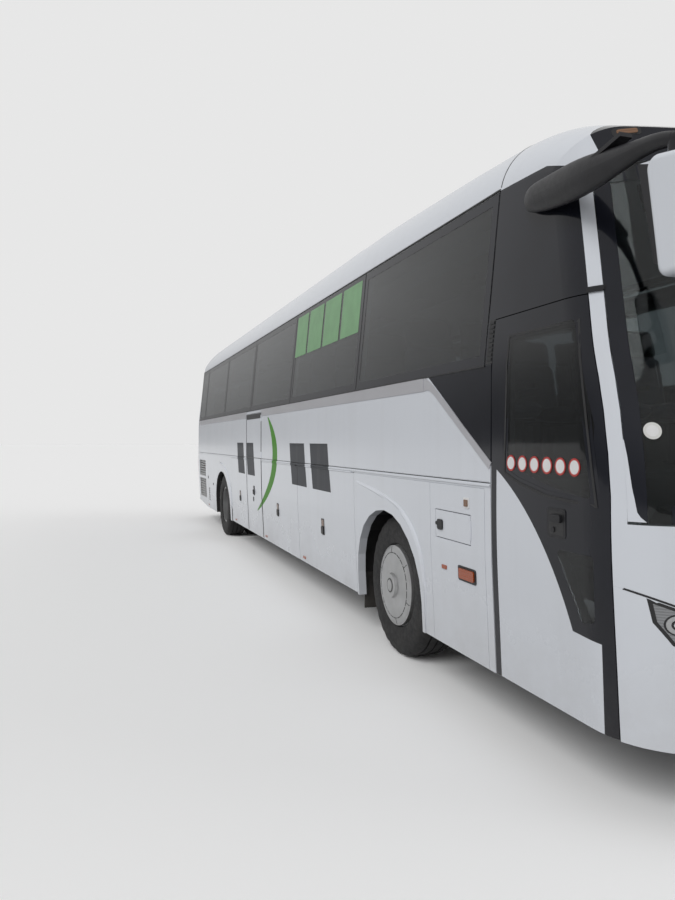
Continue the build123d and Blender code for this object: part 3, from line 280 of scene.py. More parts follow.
def white_paint():
    """Coach paint with road dust low down, and the plain bars and arc."""
    g = Graph("white_paint", WHITE, Coat_Weight=0.1, Coat_Roughness=0.05, Specular_IOR_Level=0.3)
    x, y, z = g.axes
    shade = g.mix(g.span(g.noise(0.9, 3.0), 0.3, 0.7), scaled(WHITE, 0.985), scaled(WHITE, 1.01))
    outer = g.math("LESS_THAN", x, INK_X)
    slanted = g.math("MULTIPLY_ADD", z, BARS_LEAN, y)
    grey = 0.0
    for first, last, pitch, width in BARS:
        along = g.math("SUBTRACT", slanted, st(first))
        band = g.within(g.math("WRAP", along, pitch), 0.0, width)
        bars = g.product(g.within(along, 0.0, last - first), band, g.within(z, *BARS_Z), outer)
        grey = g.math("MAXIMUM", grey, bars)
    bow = g.math("POWER", g.math("SUBTRACT", z, BOW_Z), 2.0)
    middle = g.math("MULTIPLY_ADD", bow, BOW, st(BOW_STATION))
    taper = g.math("POWER", g.math("DIVIDE", g.math("SUBTRACT", z, ARC_Z), ARC_HALF_TALL), 4.0)
    half = g.math("MULTIPLY_ADD", taper, ARC_TAPER, ARC_HALF_WIDE)
    green = g.product(g.math("COMPARE", y, middle, half), g.math("COMPARE", z, ARC_Z, ARC_HALF_TALL), outer)
    shade = g.mix(green, g.mix(grey, shade, GREY_INK), GREEN_INK)
    low = g.math("POWER", g.span(z, 1.1, 0.25), 2.0)
    dust = g.product(low, g.span(g.noise(2.2, 9.0, 0.7), 0.32, 0.72, 0.15, 1.0))
    streak = g.span(g.noise(9.0, 3.0, 0.5, (1.0, 1.0, 0.05)), 0.5, 0.9, 0.0, 0.07)
    g.color(g.mix(g.math("MULTIPLY_ADD", dust, 0.4, streak, clamp=True), shade, ROAD_DUST))
    matt = g.math("MULTIPLY_ADD", g.math("MAXIMUM", grey, green), 0.4, g.product(dust, 0.3))
    g.rough(g.math("ADD", g.span(g.noise(2.0), 0.3, 0.7, 0.2, 0.24), matt))
    return g.material


FAN_R, FAN_PITCH, FAN_FIRST, FAN_LAST, FAN_Z = 0.26, 0.65, 3.825, 5.775, 3.5
FAN_EDGE, RINGS_PER_M, SPOKE_PAIRS = 0.022, 34.0, 4.0


def unit_paint():
    """The roof unit's paint, with round fan guards drawn on its top."""
    g = Graph("roof_unit_paint", WHITE, Specular_IOR_Level=0.35)
    x, y, z = g.axes
    along = g.math("SUBTRACT", y, st(FAN_FIRST))
    off = g.math("SUBTRACT", g.math("WRAP", along, FAN_PITCH), FAN_PITCH / 2)
    r = g.math("SQRT", g.math("ADD", g.product(x, x), g.product(off, off)))
    fans = g.product(g.math("LESS_THAN", r, FAN_R), g.within(along, 0.0, FAN_LAST - FAN_FIRST),
                     g.math("GREATER_THAN", z, FAN_Z))
    turn = g.product(g.math("ARCTAN2", off, x), SPOKE_PAIRS)
    spoke = g.math("COMPARE", g.math("SINE", turn), 0.0, 0.12)
    ring = g.math("LESS_THAN", g.math("FRACT", g.product(r, RINGS_PER_M)), 0.25)
    guard = g.math("MAXIMUM", g.math("MAXIMUM", ring, spoke), g.math("GREATER_THAN", r, FAN_R - FAN_EDGE))
    paint = g.mix(g.span(g.noise(2.5), 0.3, 0.7), scaled(WHITE, 0.97), WHITE)
    g.color(g.mix(fans, paint, g.mix(guard, (0.008, 0.008, 0.009), (0.16, 0.165, 0.17))))
    g.rough(g.span(g.noise(3.0), 0.3, 0.7, 0.25, 0.35))
    g.bump(g.product(g.math("ADD", guard, -1.0), fans), 0.6, 0.01)
    return g.material


def glass(name, tint, rough=0.015):
    """Tinted glazing, a little uneven in tint and polish."""
    g = Graph(name, tint, Transmission_Weight=1.0, IOR=1.38)
    g.rough(g.span(g.noise(3.0, 5.0), 0.35, 0.8, rough, rough + 0.05))
    g.color(g.mix(g.span(g.noise(1.3), 0.3, 0.7), tint, scaled(tint, 0.9)))
    return g.material


def rubber_tyre():
    g = Graph("tyre_rubber", (0.02, 0.02, 0.021))
    dust = g.span(g.noise(14.0, 8.0, 0.7), 0.35, 0.75)
    g.color(g.mix(g.product(dust, 0.3), (0.013, 0.013, 0.014), (0.07, 0.066, 0.06)))
    g.rough(g.span(g.noise(40.0), 0.3, 0.7, 0.68, 0.88))
    g.bump(g.noise(420.0, 2.0), 0.15, 0.0006)
    return g.material


def seat_cloth(name, base, accent):
    """Woven plush with a small repeating fleck."""
    g = Graph(name, base, Sheen_Weight=0.35, Sheen_Roughness=0.5, Roughness=0.9)
    cells = g.add("ShaderNodeTexVoronoi")
    g.put(g.place, cells.inputs["Vector"])
    cells.inputs["Scale"].default_value = 38.0
    fleck = g.math("LESS_THAN", cells.outputs["Distance"], 0.22)
    weave = g.wave("DIAGONAL", 160.0)
    shade = g.mix(g.product(fleck, 0.7), base, accent)
    g.color(g.mix(g.product(weave, 0.35), shade, scaled(base, 0.5)))
    g.bump(weave, 0.3, 0.0008)
    return g.material


def lamp(name, color, bands=(), **sockets):
    """A ribbed lens with painted shade in the troughs between its ribs; bands give other colours below
    heights.
    """
    g = Graph(name, color, Coat_Weight=0.15, Coat_Roughness=0.04, **sockets)
    ribs = g.wave("Z", 28.0)
    shade = color
    for below, other in bands:
        shade = g.mix(g.math("LESS_THAN", g.axes[2], below), shade, other)
    # Painted shade: the rib troughs, low in the bump, take a darker copy of the lens colour.
    dark = g.mix(0.3, shade, (0, 0, 0)) if bands else scaled(color, 0.7)
    g.color(g.mix(ribs, dark, shade))
    g.rough(g.span(g.noise(30.0), 0.3, 0.7, 0.12, 0.22))
    g.bump(ribs, 0.25, 0.002)
    return g.material


# A band of each of these colours, from that height down, on the red lens.
RED = (0.42, 0.014, 0.012)
RED_BANDS = ((1.02, (0.62, 0.13, 0.01)), (0.93, (0.7, 0.7, 0.7)), (0.86, RED))

# The materials of the CAD model's slots.
MATERIAL = {
    "white_paint": white_paint(),
    "black_panel": varied("gloss_black", (0.01, 0.011, 0.016), 0.1, 0.2, 2.0, dust=0.15,
                          Specular_IOR_Level=0.3),
    "black_plastic": varied("grained_plastic", (0.013, 0.013, 0.015), 0.45, 0.2, 9.0, 0.25, 700.0, dust=0.3,
                            Specular_IOR_Level=0.35),
    "grey_plastic": varied("grille_plastic", (0.3, 0.305, 0.31), 0.42, 0.1, 7.0, 0.15, 500.0, dust=0.5),
    "trim_metal": varied("satin_strip", (0.46, 0.46, 0.485), 0.35, 0.05, 2.0, Metallic=0.35),
    "glass": glass("tinted_glass", (0.16, 0.18, 0.19)),
    "lamp_lens": lamp("clear_lens", (0.72, 0.74, 0.77), Metallic=0.7),
    "lamp_red": lamp("red_lens", RED, RED_BANDS),
    "tyre": rubber_tyre(),
    "rubber": varied("seal_rubber", (0.014, 0.014, 0.015), 0.55, 0.2, 12.0, 0.2, 500.0, dust=0.5),
    "wheel_metal": varied("satin_wheel", (0.42, 0.425, 0.43), 0.36, 0.1, 9.0, 0.08, 300.0, dust=0.35,
                          Metallic=0.75),
    "frame_paint": varied("frame_paint", (0.03, 0.03, 0.032), 0.55, 0.25, 8.0, 0.25, 200.0, dust=0.7),
    "bare_steel": varied("grey_sheet", (0.2, 0.205, 0.21), 0.5, 0.1, 5.0, 0.15, 150.0, dust=0.3),
    "engine_iron": varied("cast_iron", (0.075, 0.075, 0.078), 0.6, 0.25, 11.0, 0.5, 160.0, dust=0.5,
                          Metallic=0.4),
    "floor_covering": varied("floor_covering", (0.055, 0.057, 0.062), 0.6, 0.15, 20.0, 0.35, 260.0),
    "seat_fabric": seat_cloth("seat_plush", (0.03, 0.04, 0.075), (0.12, 0.14, 0.2)),
}
LINING = varied("cabin_lining", (0.13, 0.13, 0.135), 0.7, 0.08, 5.0, 0.25, 400.0)
SCREEN_GLASS = glass("windscreen_glass", (0.34, 0.38, 0.38))
DECAL_GREEN = varied("green_film", (0.13, 0.3, 0.13), 0.35, 0.1, 8.0)
ORANGE = lamp("orange_lens", (0.36, 0.06, 0.005))
WHITE_FILM = varied("white_film", (0.7, 0.7, 0.7), 0.4, 0.04, 20.0)
RED_FILM = varied("red_film", (0.4, 0.025, 0.02), 0.4, 0.06, 20.0)
MIRROR_GLASS = varied("mirror_glass", (0.75, 0.77, 0.79), 0.02, 0.03, 2.0, Metallic=1.0)
LEATHER = varied("headrest_leather", (0.02, 0.021, 0.024), 0.48, 0.15, 14.0, 0.35, 350.0)
BROWN_LENS = lamp("brown_lens", (0.2, 0.1, 0.05))
PLATE = varied("blank_plate", (0.62, 0.62, 0.6), 0.35, 0.03, 12.0)
DARK = varied("dark_recess", (0.012, 0.012, 0.013), 0.45, 0.2, 20.0)

for row in frame["record"]["subparts"]:
    kept = nodes[row["node"]].data.materials
    kept.clear()
    kept.append(MATERIAL[row["material_slot"]])
nodes["windscreen"].data.materials[0] = SCREEN_GLASS
nodes["headlamps"].data.materials[0] = lamp("headlamp_lens", (0.27, 0.275, 0.285), Metallic=0.5)


def second_material(name, material, test):
    """Faces of a node whose centre and normal pass the test take another material."""
    data = nodes[name].data
    data.materials.append(material)
    for face in data.polygons:
        if test(face.center, face.normal):
            face.material_index = len(data.materials) - 1


LINING_Z, ARCH_R = 0.9, 0.85


def faces_in(centre, normal):
    """Whether a wall's face looks into the cabin."""
    return centre.x * normal.x < -0.3 * abs(centre.x) and centre.z > LINING_Z


def in_rear_arch(centre, normal):
    """Whether a wall's face is the cut edge of the rear wheel arch."""
    away = math.hypot(centre.y - st(WHEELBASE), centre.z - WHEEL_Z)
    return away < ARCH_R and abs(normal.x) < 0.3


for wall in ("side_wall_left", "side_wall_right", "cab_side_left", "mid_door"):
    second_material(wall, LINING, faces_in)
for wall in ("side_wall_left", "side_wall_right"):
    second_material(wall, MATERIAL["black_plastic"], in_rear_arch)


# Meshes.


class Build:
    """Collects points and faces of many small forms for one piece after another."""

    def __init__(self):
        self.clear()

    def clear(self):
        self.points, self.faces, self.which = [], [], []

    def box(self, low, high, which=0):
        (x0, y0, z0), (x1, y1, z1) = low, high
        self.rings([[(x0, y0, z), (x1, y0, z), (x1, y1, z), (x0, y1, z)] for z in (z0, z1)], which=which)

    def rings(self, rings, closed=True, caps=True, which=0):
        """Skin over rings of equally many points."""
        start, n = len(self.points), len(rings[0])
        made = []
        for k in range(start, start + (len(rings) - 1) * n, n):
            for i in range(n if closed else n - 1):
                j = (i + 1) % n
                made.append((k + i, k + j, k + n + j, k + n + i))
        self.points += [Vector(p) for ring in rings for p in ring]
        if caps:
            made.append(tuple(range(start, start + n))[::-1])
            made.append(tuple(range(len(self.points) - n, len(self.points))))
        self.faces += made
        self.which += [which] * len(made)

    def tube(self, path, radius, sides=10, which=0):
        """Round bar along a path of points."""
        path = [Vector(p) for p in path]
        rings = []
        for i, p in enumerate(path):
            d = (path[min(i + 1, len(path) - 1)] - path[max(i - 1, 0)]).normalized()
            a = d.cross(Vector((0, 0, 1)))
            a = a.normalized() if a.length > 0.01 else Vector((1, 0, 0))
            b = d.cross(a).normalized()
            rings.append([p + a * u + b * v for u, v in disc(0, 0, radius, sides)])
        self.rings(rings, which=which)

    def plate(self, outline, place, low, high, which=0):
        """Plate over a closed 2D outline; place(u, v, depth) gives its points between two depths."""
        self.rings([[place(u, v, depth) for u, v in outline] for depth in (low, high)], which=which)

    def tiles(self, rows, place):
        """Plates with round corners, a row each: u from and to, v from and to, corner radius, two depths
        and perhaps which material."""
        for u0, u1, v0, v1, r, *rest in rows:
            self.plate(rounded(u0, u1, v0, v1, r), place, *rest)

    def cover(self, outline, place, low, high, which=0, steps=4):
        """Plate that follows a curved skin all over, between two depths."""
        outline = run(*outline, outline[0], step=0.05)[:-1]
        cu = sum(u for u, _ in outline) / len(outline)
        cv = sum(v for _, v in outline) / len(outline)
        rings = [[place(u, v, low) for u, v in outline]]
        for k in range(steps):
            share = 1 - k / (steps - 0.97)
            rings.append([place(cu + (u - cu) * share, cv + (v - cv) * share, high) for u, v in outline])
        self.rings(rings, which=which)

    def sheet(self, us, vs, place, depth, which=0):
        """Thin film over a grid of places."""
        self.rings([[place(u, v, depth) for u in us] for v in vs], closed=False, caps=False, which=which)

    def bead(self, path, place, width, height, profile, which=0):
        """Raised bead along a 2D path, widest and highest halfway."""
        left, right = offset(path, width / 2, False)
        rings = []
        for i, (a, b) in enumerate(zip(left, right)):
            full = math.sin(math.pi * (i + 0.6) / (len(path) + 0.2)) ** 0.6
            middle = (a + b) / 2
            ring = []
            for share, lift in profile:
                u, v = middle + (a - middle) * share * (0.35 + 0.65 * full)
                ring.append(place(u, v, -height * lift * full))
            rings.append(ring)
        self.rings(rings, which=which)

    def ribbon(self, path, place, width, low, high, closed=False, which=0):
        """Strip of one width, or a width for each point, along a 2D path, between two depths."""
        half = [w / 2 for w in width] if isinstance(width, (list, tuple)) else width / 2
        left, right = offset(path, half, closed)
        rings = []
        for (lu, lv), (ru, rv) in zip(left, right):
            rings.append([place(lu, lv, low), place(ru, rv, low), place(ru, rv, high), place(lu, lv, high)])
        if closed:
            rings.append(rings[0])
        self.rings(rings, caps=not closed, which=which)

    def piece(self, name, *materials, slot=None, body="coach", replaces=()):
        """A piece of what was collected; a material may be given by its slot's name. The slot argument is not
        used.
        """
        data = bpy.data.meshes.new(name)
        data.from_pydata([tuple(p) for p in self.points], [], self.faces)
        data.validate()
        work = bmesh.new()
        work.from_mesh(data)
        bmesh.ops.recalc_face_normals(work, faces=work.faces)
        work.to_mesh(data)
        work.free()
        for item in materials:
            data.materials.append(MATERIAL[item] if isinstance(item, str) else item)
        if len(data.polygons) == len(self.which):
            data.polygons.foreach_set("material_index", self.which)
        data.polygons.foreach_set("use_smooth", [True] * len(data.polygons))
        data.set_sharp_from_angle(angle=math.radians(35))
        piece = bpy.data.objects.new(name, data)
        scene.collection.objects.link(piece)
        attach(piece, body)
        slot or materials[0]
        if replaces:
            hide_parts(*replaces)
        self.clear()
        return piece


def offset(path, distance, closed):
    """Points to the left and right of a 2D path."""
    path = [Vector(p) for p in path]
    parts = [(b - a).normalized() for a, b in zip(path, path[1:] + path[:1])]
    if not closed:
        parts[-1] = parts[-2]
    left, right = [], []
    for i, p in enumerate(path):
        before = parts[i - 1] if closed or i > 0 else parts[0]
        along = (before + parts[i]).normalized()
        reach = distance[i] if isinstance(distance, list) else distance
        stretch = reach / max(0.35, along.dot(before))
        side = Vector((-along.y, along.x)) * stretch
        left.append(p + side)
        right.append(p - side)
    return left, right


def rounded(u0, u1, v0, v1, r, steps=4):
    """Outline of a rectangle with round corners."""
    points = []
    corners = ((u1 - r, v1 - r, 0), (u0 + r, v1 - r, 90), (u0 + r, v0 + r, 180), (u1 - r, v0 + r, 270))
    for cu, cv, start in corners:
        for a in spread(start, start + 90, steps):
            u, v = polar(r, a)
            points.append((cu + u, cv + v))
    return points


def polar(r, degrees):
    a = math.radians(degrees)
    return r * math.cos(a), r * math.sin(a)


def disc(u, v, r, n=24):
    return [(u + du, v + dv) for du, dv in (polar(r, 360 * k / n) for k in range(n))]


def run(*points, step=0.12):
    """A 2D path with points added along its straight runs."""
    made = [points[0]]
    for a, b in zip(points, points[1:]):
        count = max(1, round(math.dist(a, b) / step))
        made += [part_way(a, b, k / count) for k in range(1, count + 1)]
    return made


def part_way(a, b, share):
    return a[0] + (b[0] - a[0]) * share, a[1] + (b[1] - a[1]) * share


def spread(first, last, count):
    """Numbers from first to last in equal steps."""
    return [first + (last - first) * k / count for k in range(count + 1)]


def onto(names, place, reach=0.04):
    """The same place moved on to the surface of the first of the nodes it meets, or left where it was."""
    def moved(u, v, depth):
        outside, inside = place(u, v, -reach), place(u, v, reach)
        inward = (inside - outside).normalized()
        for name in names.split():
            hit, spot, _, _ = nodes[name].ray_cast(outside, inward, distance=2 * reach)
            if hit:
                return spot + inward * depth
        return place(u, v, depth)
    return moved


def smooth_path(points, count=8):
    """A soft curve through 2D points."""
    points = [Vector(p) for p in points]
    ends = [points[0] * 2 - points[1]] + points + [points[-1] * 2 - points[-2]]
    made = []
    for a, b, c, d in zip(ends, ends[1:], ends[2:], ends[3:]):
        for k in range(count):
            q = k / count
            made.append(0.5 * (2 * b + (c - a) * q + (2 * a - 5 * b + 4 * c - d) * q * q
                               + (3 * b - a - 3 * c + d) * q ** 3))
    return made + [points[-1]]


# Tyres with tread.


def tyre_mesh(x, station):
    """One tyre: rounded sidewalls, three grooves round the tread and notches in its shoulders."""
    section = [(-0.115, 0.286), (-0.135, 0.298), (-0.146, 0.335), (-0.1475, 0.385), (-0.1465, 0.42),
               (-0.142, 0.45), (-0.134, 0.474), (-0.13, 0.478), (-0.118, 0.4915)]
    tread = [(-0.1, 0.4955)]
    for g in (-0.062, 0.0, 0.062):
        tread += [(g - 0.007, 0.4985), (g - 0.0045, 0.486), (g + 0.0045, 0.486), (g + 0.007, 0.4985)]
    section += tread + [(0.1, 0.4955)] + [(-a, r) for a, r in section[::-1]]
    rings = []
    for degrees in range(0, 360, 4):
        ring = []
        for a, r in section:
            if degrees % 12 == 0 and abs(a) > 0.115 and r > 0.47:
                r -= 0.008
            u, v = polar(r, degrees)
            ring.append((x + a, st(station) + u, WHEEL_Z + v))
        rings.append(ring)
    rings.append(rings[0])
    build.rings(rings, closed=False, caps=False)


build = Build()
for side, sign in (("left", 1), ("right", -1)):
    tyre_mesh(sign * FRONT_WHEEL_X, 0.0)
    build.piece(f"front_tyre_tread_{side}", "tyre", body=f"front_wheel_{side}",
                replaces=[f"front_tyre_{side}"])
    for x in REAR_WHEEL_X:
        tyre_mesh(sign * x, WHEELBASE)
    build.piece(f"rear_tyre_treads_{side}", "tyre", body=f"rear_wheels_{side}",
                replaces=[f"rear_tyres_{side}"])


# Seats.


def power(value, exponent):
    return math.copysign(abs(value) ** exponent, value)


def pad(start, end, face, half_w, half_t, seams=(), cross=(), which=0, rows=13, around=34):
    """Crowned pad along a centre line, its width across the coach, with sewn channels on its face."""
    start, end, face = Vector(start), Vector(end), Vector(face).normalized()
    along = end - start
    rings = []
    for v in spread(0, 1, rows - 1):
        round_off = max(0.0, 1 - abs(2 * v - 1) ** 7)
        wide = half_w * (0.86 + 0.14 * round_off ** 0.5)
        thick = half_t * (0.35 + 0.65 * round_off ** 0.5)
        groove = sum(math.exp(-((v - c) / 0.022) ** 2) for c in cross)
        ring = []
        for i in range(around):
            a = 2 * math.pi * i / around
            dx = wide * power(math.cos(a), 0.55)
            n = thick * power(math.sin(a), 0.7)
            if n > 0:
                channel = sum(math.exp(-((dx / half_w - s) / 0.07) ** 2) for s in seams)
                crown = 0.12 * (1 - (dx / wide) ** 2)
                n *= 1 + crown - 0.16 * min(1.0, channel) - 0.2 * min(1.0, groove)
            ring.append(start + along * v + Vector((dx, 0, 0)) + face * n)
        rings.append(ring)
    build.rings(rings, which=which)


def seat(x, station):
    """Cushion, bolstered back and headrest of one seat whose cushion starts at a station."""
    y = st(station)
    pad((x, y + 0.02, FLOOR + 0.405), (x, y + 0.43, FLOOR + 0.385), (0, 0, 1), 0.205, 0.065,
        (-0.62, 0.62), (0.3, 0.62))
    low = Vector((x, y + 0.405, FLOOR + 0.44))
    high = Vector((x, y + 0.5, FLOOR + 0.86))
    face = Vector((0, -1, 0.12))
    pad(low, high, face, 0.2, 0.058, (-0.6, 0.6), (0.25, 0.5, 0.75))
    top = high + (high - low).normalized() * 0.215
    pad(high - (high - low) * 0.02, top, face, 0.175, 0.05, which=1, rows=9)
    for side in (-1, 1):
        build.tube([low + Vector((side * 0.17, 0.062, -0.02)), high + Vector((side * 0.15, 0.056, 0.04))],
                   0.009, 6, which=2)


def bar(x, y, form):
    """Square bar of a seat's frame."""
    half, y0, y1, z0, z1 = form
    build.box((x - half, y + y0, FLOOR + z0), (x + half, y + y1, FLOOR + z1), which=3)


FLOOR = 1.35
# Bars: half width, two distances behind the cushion's front and two heights over the floor.
ARM_REST = (0.018, 0.12, 0.42, 0.56, 0.595)
ARM_POST = (0.008, 0.36, 0.41, 0.36, 0.57)
FOOT = (0.03, 0.13, 0.3, 0.0, 0.03)
LEG = (0.012, 0.16, 0.27, 0.03, 0.34)
RAIL = (0.4075, 0.1, 0.36, 0.325, 0.345)
SEAT_ROWS, SEAT_FIRST, SEAT_PITCH, SEAT_LONG = 12, -0.5, 0.8, 0.56
STAIRWELL = (4.05, 4.98)
BENCHES = ((-1.145, -0.25), (0.25, 1.145))
SEAT_MATERIALS = ("seat_fabric", LEATHER, "black_plastic", "frame_paint")

for k in range(SEAT_ROWS):
    station = SEAT_FIRST + SEAT_PITCH * k
    by_stairs = STAIRWELL[0] - SEAT_LONG < station < STAIRWELL[1]
    for x0, x1 in BENCHES[1:] if by_stairs else BENCHES:
        quarter = (x1 - x0) / 4
        for x in (x0 + quarter, x1 - quarter):
            seat(x, station)
        middle = (x0 + x1) / 2
        for xs, forms in (((x0 + 0.02, middle, x1 - 0.02), (ARM_REST, ARM_POST)),
                          ((x0 + 0.1, x1 - 0.1), (FOOT, LEG)), ((middle,), (RAIL,))):
            for x in xs:
                for form in forms:
                    bar(x, st(station), form)
build.piece("passenger_seat_pads", *SEAT_MATERIALS, replaces=["passenger_seats"])

PEDESTAL = ((0.91, 0.13), (1.0, 0.12), (1.02, 0.07), (1.25, 0.07))
x, y, z = 0.75, st(-2.0), 1.33
pad((x, y + 0.02, z + 0.045), (x, y + 0.43, z + 0.03), (0, 0, 1), 0.235, 0.065, (-0.6, 0.6),
    (0.35, 0.7))
low, high, face = Vector((x, y + 0.41, z + 0.1)), Vector((x, y + 0.5, z + 0.55)), (0, -1, 0.15)
pad(low, high, face, 0.23, 0.06, (-0.6, 0.6), (0.3, 0.6))
pad(high - (high - low) * 0.02, high + (high - low) * 0.35, face, 0.15, 0.045, which=1, rows=9)
build.box((x - 0.2, y + 0.08, z - 0.08), (x + 0.2, y + 0.42, z - 0.03), which=3)
build.rings([[(u, v, h) for u, v in disc(x, y + 0.23, r, 20)] for h, r in PEDESTAL], which=3)
build.piece("driver_seat_pads", *SEAT_MATERIALS, replaces=["driver_seat"])

# Window borders, seals and films.

for place in SIDES:
    for s0, s1 in zip(WINDOWS, WINDOWS[1:]):
        (u0, v0), (u1, v1) = (s0 + 0.038, BELT + 0.034), (s1 - 0.038, CANT - 0.039)
        build.ribbon([(u0, v0), (u1, v0), (u1, v1), (u0, v1)], place, 0.056, -0.0002, -0.0012, closed=True)
build.piece("pane_borders", "black_panel")

for place in SIDES:
    for s in WINDOWS[1:-1]:
        build.ribbon([(s, BELT + 0.004), (s, CANT - 0.004)], place, 0.011, 0.006, -0.0015)
    for z, width, face in ((CANT + 0.004, 0.009, -0.003), (BELT + 0.001, 0.008, -0.0045)):
        build.ribbon(run((-1.385, z), (9.63, z), step=1.0), place, width, 0.004, face)
build.piece("window_seals", "rubber", slot="black_plastic")

GREEN_FILMS = ((0.69, 1.15), (1.2, 1.66), (1.71, 2.17), (2.22, 2.62))
build.tiles([(s0, s1, 2.41, 2.83, 0.012, -0.0013, -0.0018) for s0, s1 in GREEN_FILMS], on_right)
build.piece("window_films", DECAL_GREEN, slot="glass")

# Small fittings of the sides.

LUGGAGE_HANDLES = (1.522, 3.236, 5.471)
LOW_REFLECTORS = (2.2, 3.9, 5.9)
for side, place in zip(("right", "left"), SIDES):
    for number, (s, low) in enumerate(zip(LUGGAGE_HANDLES, LOW_REFLECTORS), 1):
        build.tiles(((s - 0.042, s + 0.042, 0.675, 0.825, 0.012, 0.001, -0.003),
                     (s - 0.031, s + 0.031, 0.757, 0.814, 0.008, -0.0025, -0.0036, 1),
                     (s - 0.033, s + 0.033, 0.684, 0.752, 0.01, -0.003, -0.012),
                     (low - 0.045, low + 0.045, 0.352, 0.376, 0.006, 0.001, -0.005, 2)), place)
        build.piece(f"luggage_latch_{side}_{number}", "black_plastic", BROWN_LENS, ORANGE,
                    body=f"luggage_door_{side}_{number}")
    build.tiles([(-0.9, -0.835, 1.003, 1.065, 0.014, 0.001, -0.009)], place)
    build.plate(disc(-0.816, 1.038, 0.011), place, 0.001, -0.005)
    build.piece(f"flap_latch_{side}", "black_plastic", body=f"service_flap_{side}")

for place in SIDES:
    build.tiles([(-1.285, -1.08, 0.741, 0.826, 0.014, 0.001, -0.004)], place)
    build.tiles([(8.42, 8.5, z, z + 0.028, 0.006, 0.001, -0.003) for z in spread(0.456, 0.656, 5)], place)
    for s, z, r in ((8.53, 0.873, 0.028), (7.95, 0.777, 0.022)):
        build.plate(disc(s, z, r), place, 0.001, -0.004)
build.piece("side_vents", "black_plastic")

MID_DOOR_LOCK = ((4.469, 4.541, 0.826, 0.95, 0.016, 0.001, -0.004),
                 (4.538, 4.582, 0.742, 0.802, 0.016, 0.001, -0.004),
                 (4.478, 4.532, 0.84, 0.9, 0.014, -0.0035, -0.016))
build.tiles(MID_DOOR_LOCK, on_right)
build.plate([(4.058, 1.82), (4.972, 1.82), (4.972, 1.886), (4.058, 1.886)], on_right, 0.001, -0.0015)
for s, width in ((4.058, 0.02), (4.968, 0.01)):
    build.ribbon(run((s, 0.33), (s, 1.31), (s, 1.82)), on_right, width, 0.001, -0.003)
build.piece("mid_door_fittings", "black_plastic", body="mid_door")

INDICATORS = ((-1.268, -1.1, 0.754, 0.813, 0.01, -0.003, -0.012),
              (-0.935, -0.875, 0.772, 0.796, 0.006, 0.001, -0.005),
              (8.555, 8.645, 0.352, 0.376, 0.006, 0.001, -0.005))
MARKER_LAMP = ((-1.222, -1.16, 1.158, 1.218, 0.008, 0.001, -0.004),
               (-1.211, -1.171, 1.169, 1.207, 0.006, -0.0035, -0.009, 1))
for name, rows, materials in (("side_indicators", INDICATORS, [ORANGE]),
                              ("side_marker_lamps", MARKER_LAMP, [WHITE_FILM, BROWN_LENS])):
    for place in SIDES:
        build.tiles(rows, place)
    build.piece(name, *materials, slot="lamp_lens")

# Entrance door: stickers, handle, pane borders and seals.

for s, z in zip(spread(-1.647, -2.149, 5), spread(1.425, 1.42, 5)):
    build.plate(disc(s, z, 0.04, 28), on_right, -0.0004, -0.0014, which=1)
    build.plate(disc(s, z, 0.031, 28), on_right, -0.0012, -0.0018)
build.piece("door_stickers", WHITE_FILM, RED_FILM, body="front_door", slot="white_paint")

DOOR_HANDLE = ((-2.09, -1.955, 1.1, 1.232, 0.016, 0.001, -0.004),
               (-2.075, -1.97, 1.113, 1.219, 0.012, -0.0035, -0.0045, 1),
               (-2.066, -1.985, 1.17, 1.205, 0.01, -0.004, -0.018))
build.tiles(DOOR_HANDLE, on_right)
build.plate(disc(-2.0, 1.135, 0.013), on_right, -0.004, -0.009)
build.piece("door_handle", "black_plastic", DARK, body="front_door")

PANE_OUTLINE = run((-1.609, 2.061), (-2.145, 2.057), (-2.285, 1.262), (-1.95, 1.283), (-1.72, 1.33),
                   (-1.588, 1.376), (-1.609, 2.061), step=0.15)[:-1]
build.ribbon(PANE_OUTLINE, on_right, 0.05, 0.0005, -0.0006, closed=True)
build.ribbon(PANE_OUTLINE, on_right, 0.012, -0.0005, -0.003, closed=True, which=1)
build.piece("door_pane_border", "black_panel", "rubber", body="front_door")

for z in spread(1.955, 2.147, 8):
    build.plate([(-1.452, z), (-1.408, z), (-1.408, z + 0.014), (-1.452, z + 0.014)], on_right, 0.001, -0.006)
build.ribbon([(-1.43, 1.94), (-1.43, 2.17)], on_right, 0.056, 0.001, -0.002, which=1)
build.tiles([(-2.235, -2.165, 2.172, 2.196, 0.006, 0.001, -0.012)], on_right)
build.piece("door_top_fittings", "black_plastic", DARK)

DIAGONAL = [(-0.645, 1.8872), (-0.66, 1.886), (-0.69, 1.881), (-0.74, 1.864)]
DIAGONAL += [(-0.79 - 0.11 * k, 1.836 - 0.0721 * k) for k in range(7)]
for place in SIDES:
    build.ribbon(DIAGONAL, place, [0.085, 0.078, 0.062, 0.048] + [0.042] * 7, 0.001, -0.004)
build.piece("diagonal_strips", "trim_metal")

# Windscreen edge, sticker, white corners and cap lamps.

SCREEN_TURN = 32.0
SCREEN_Z = (1.21, 2.735)
for place in CORNERS:
    build.sheet(spread(SCREEN_TURN + 0.6, 43.4, 9), spread(*SCREEN_Z, 24), onto("windscreen", place), -0.0006)
for z in (SCREEN_Z[0], SCREEN_Z[1] - 0.07):
    build.sheet(spread(-1.1025, 1.1025, 42), spread(z, z + 0.07, 4), onto("windscreen", on_front), -0.0006)
build.piece("windscreen_border", "black_panel")

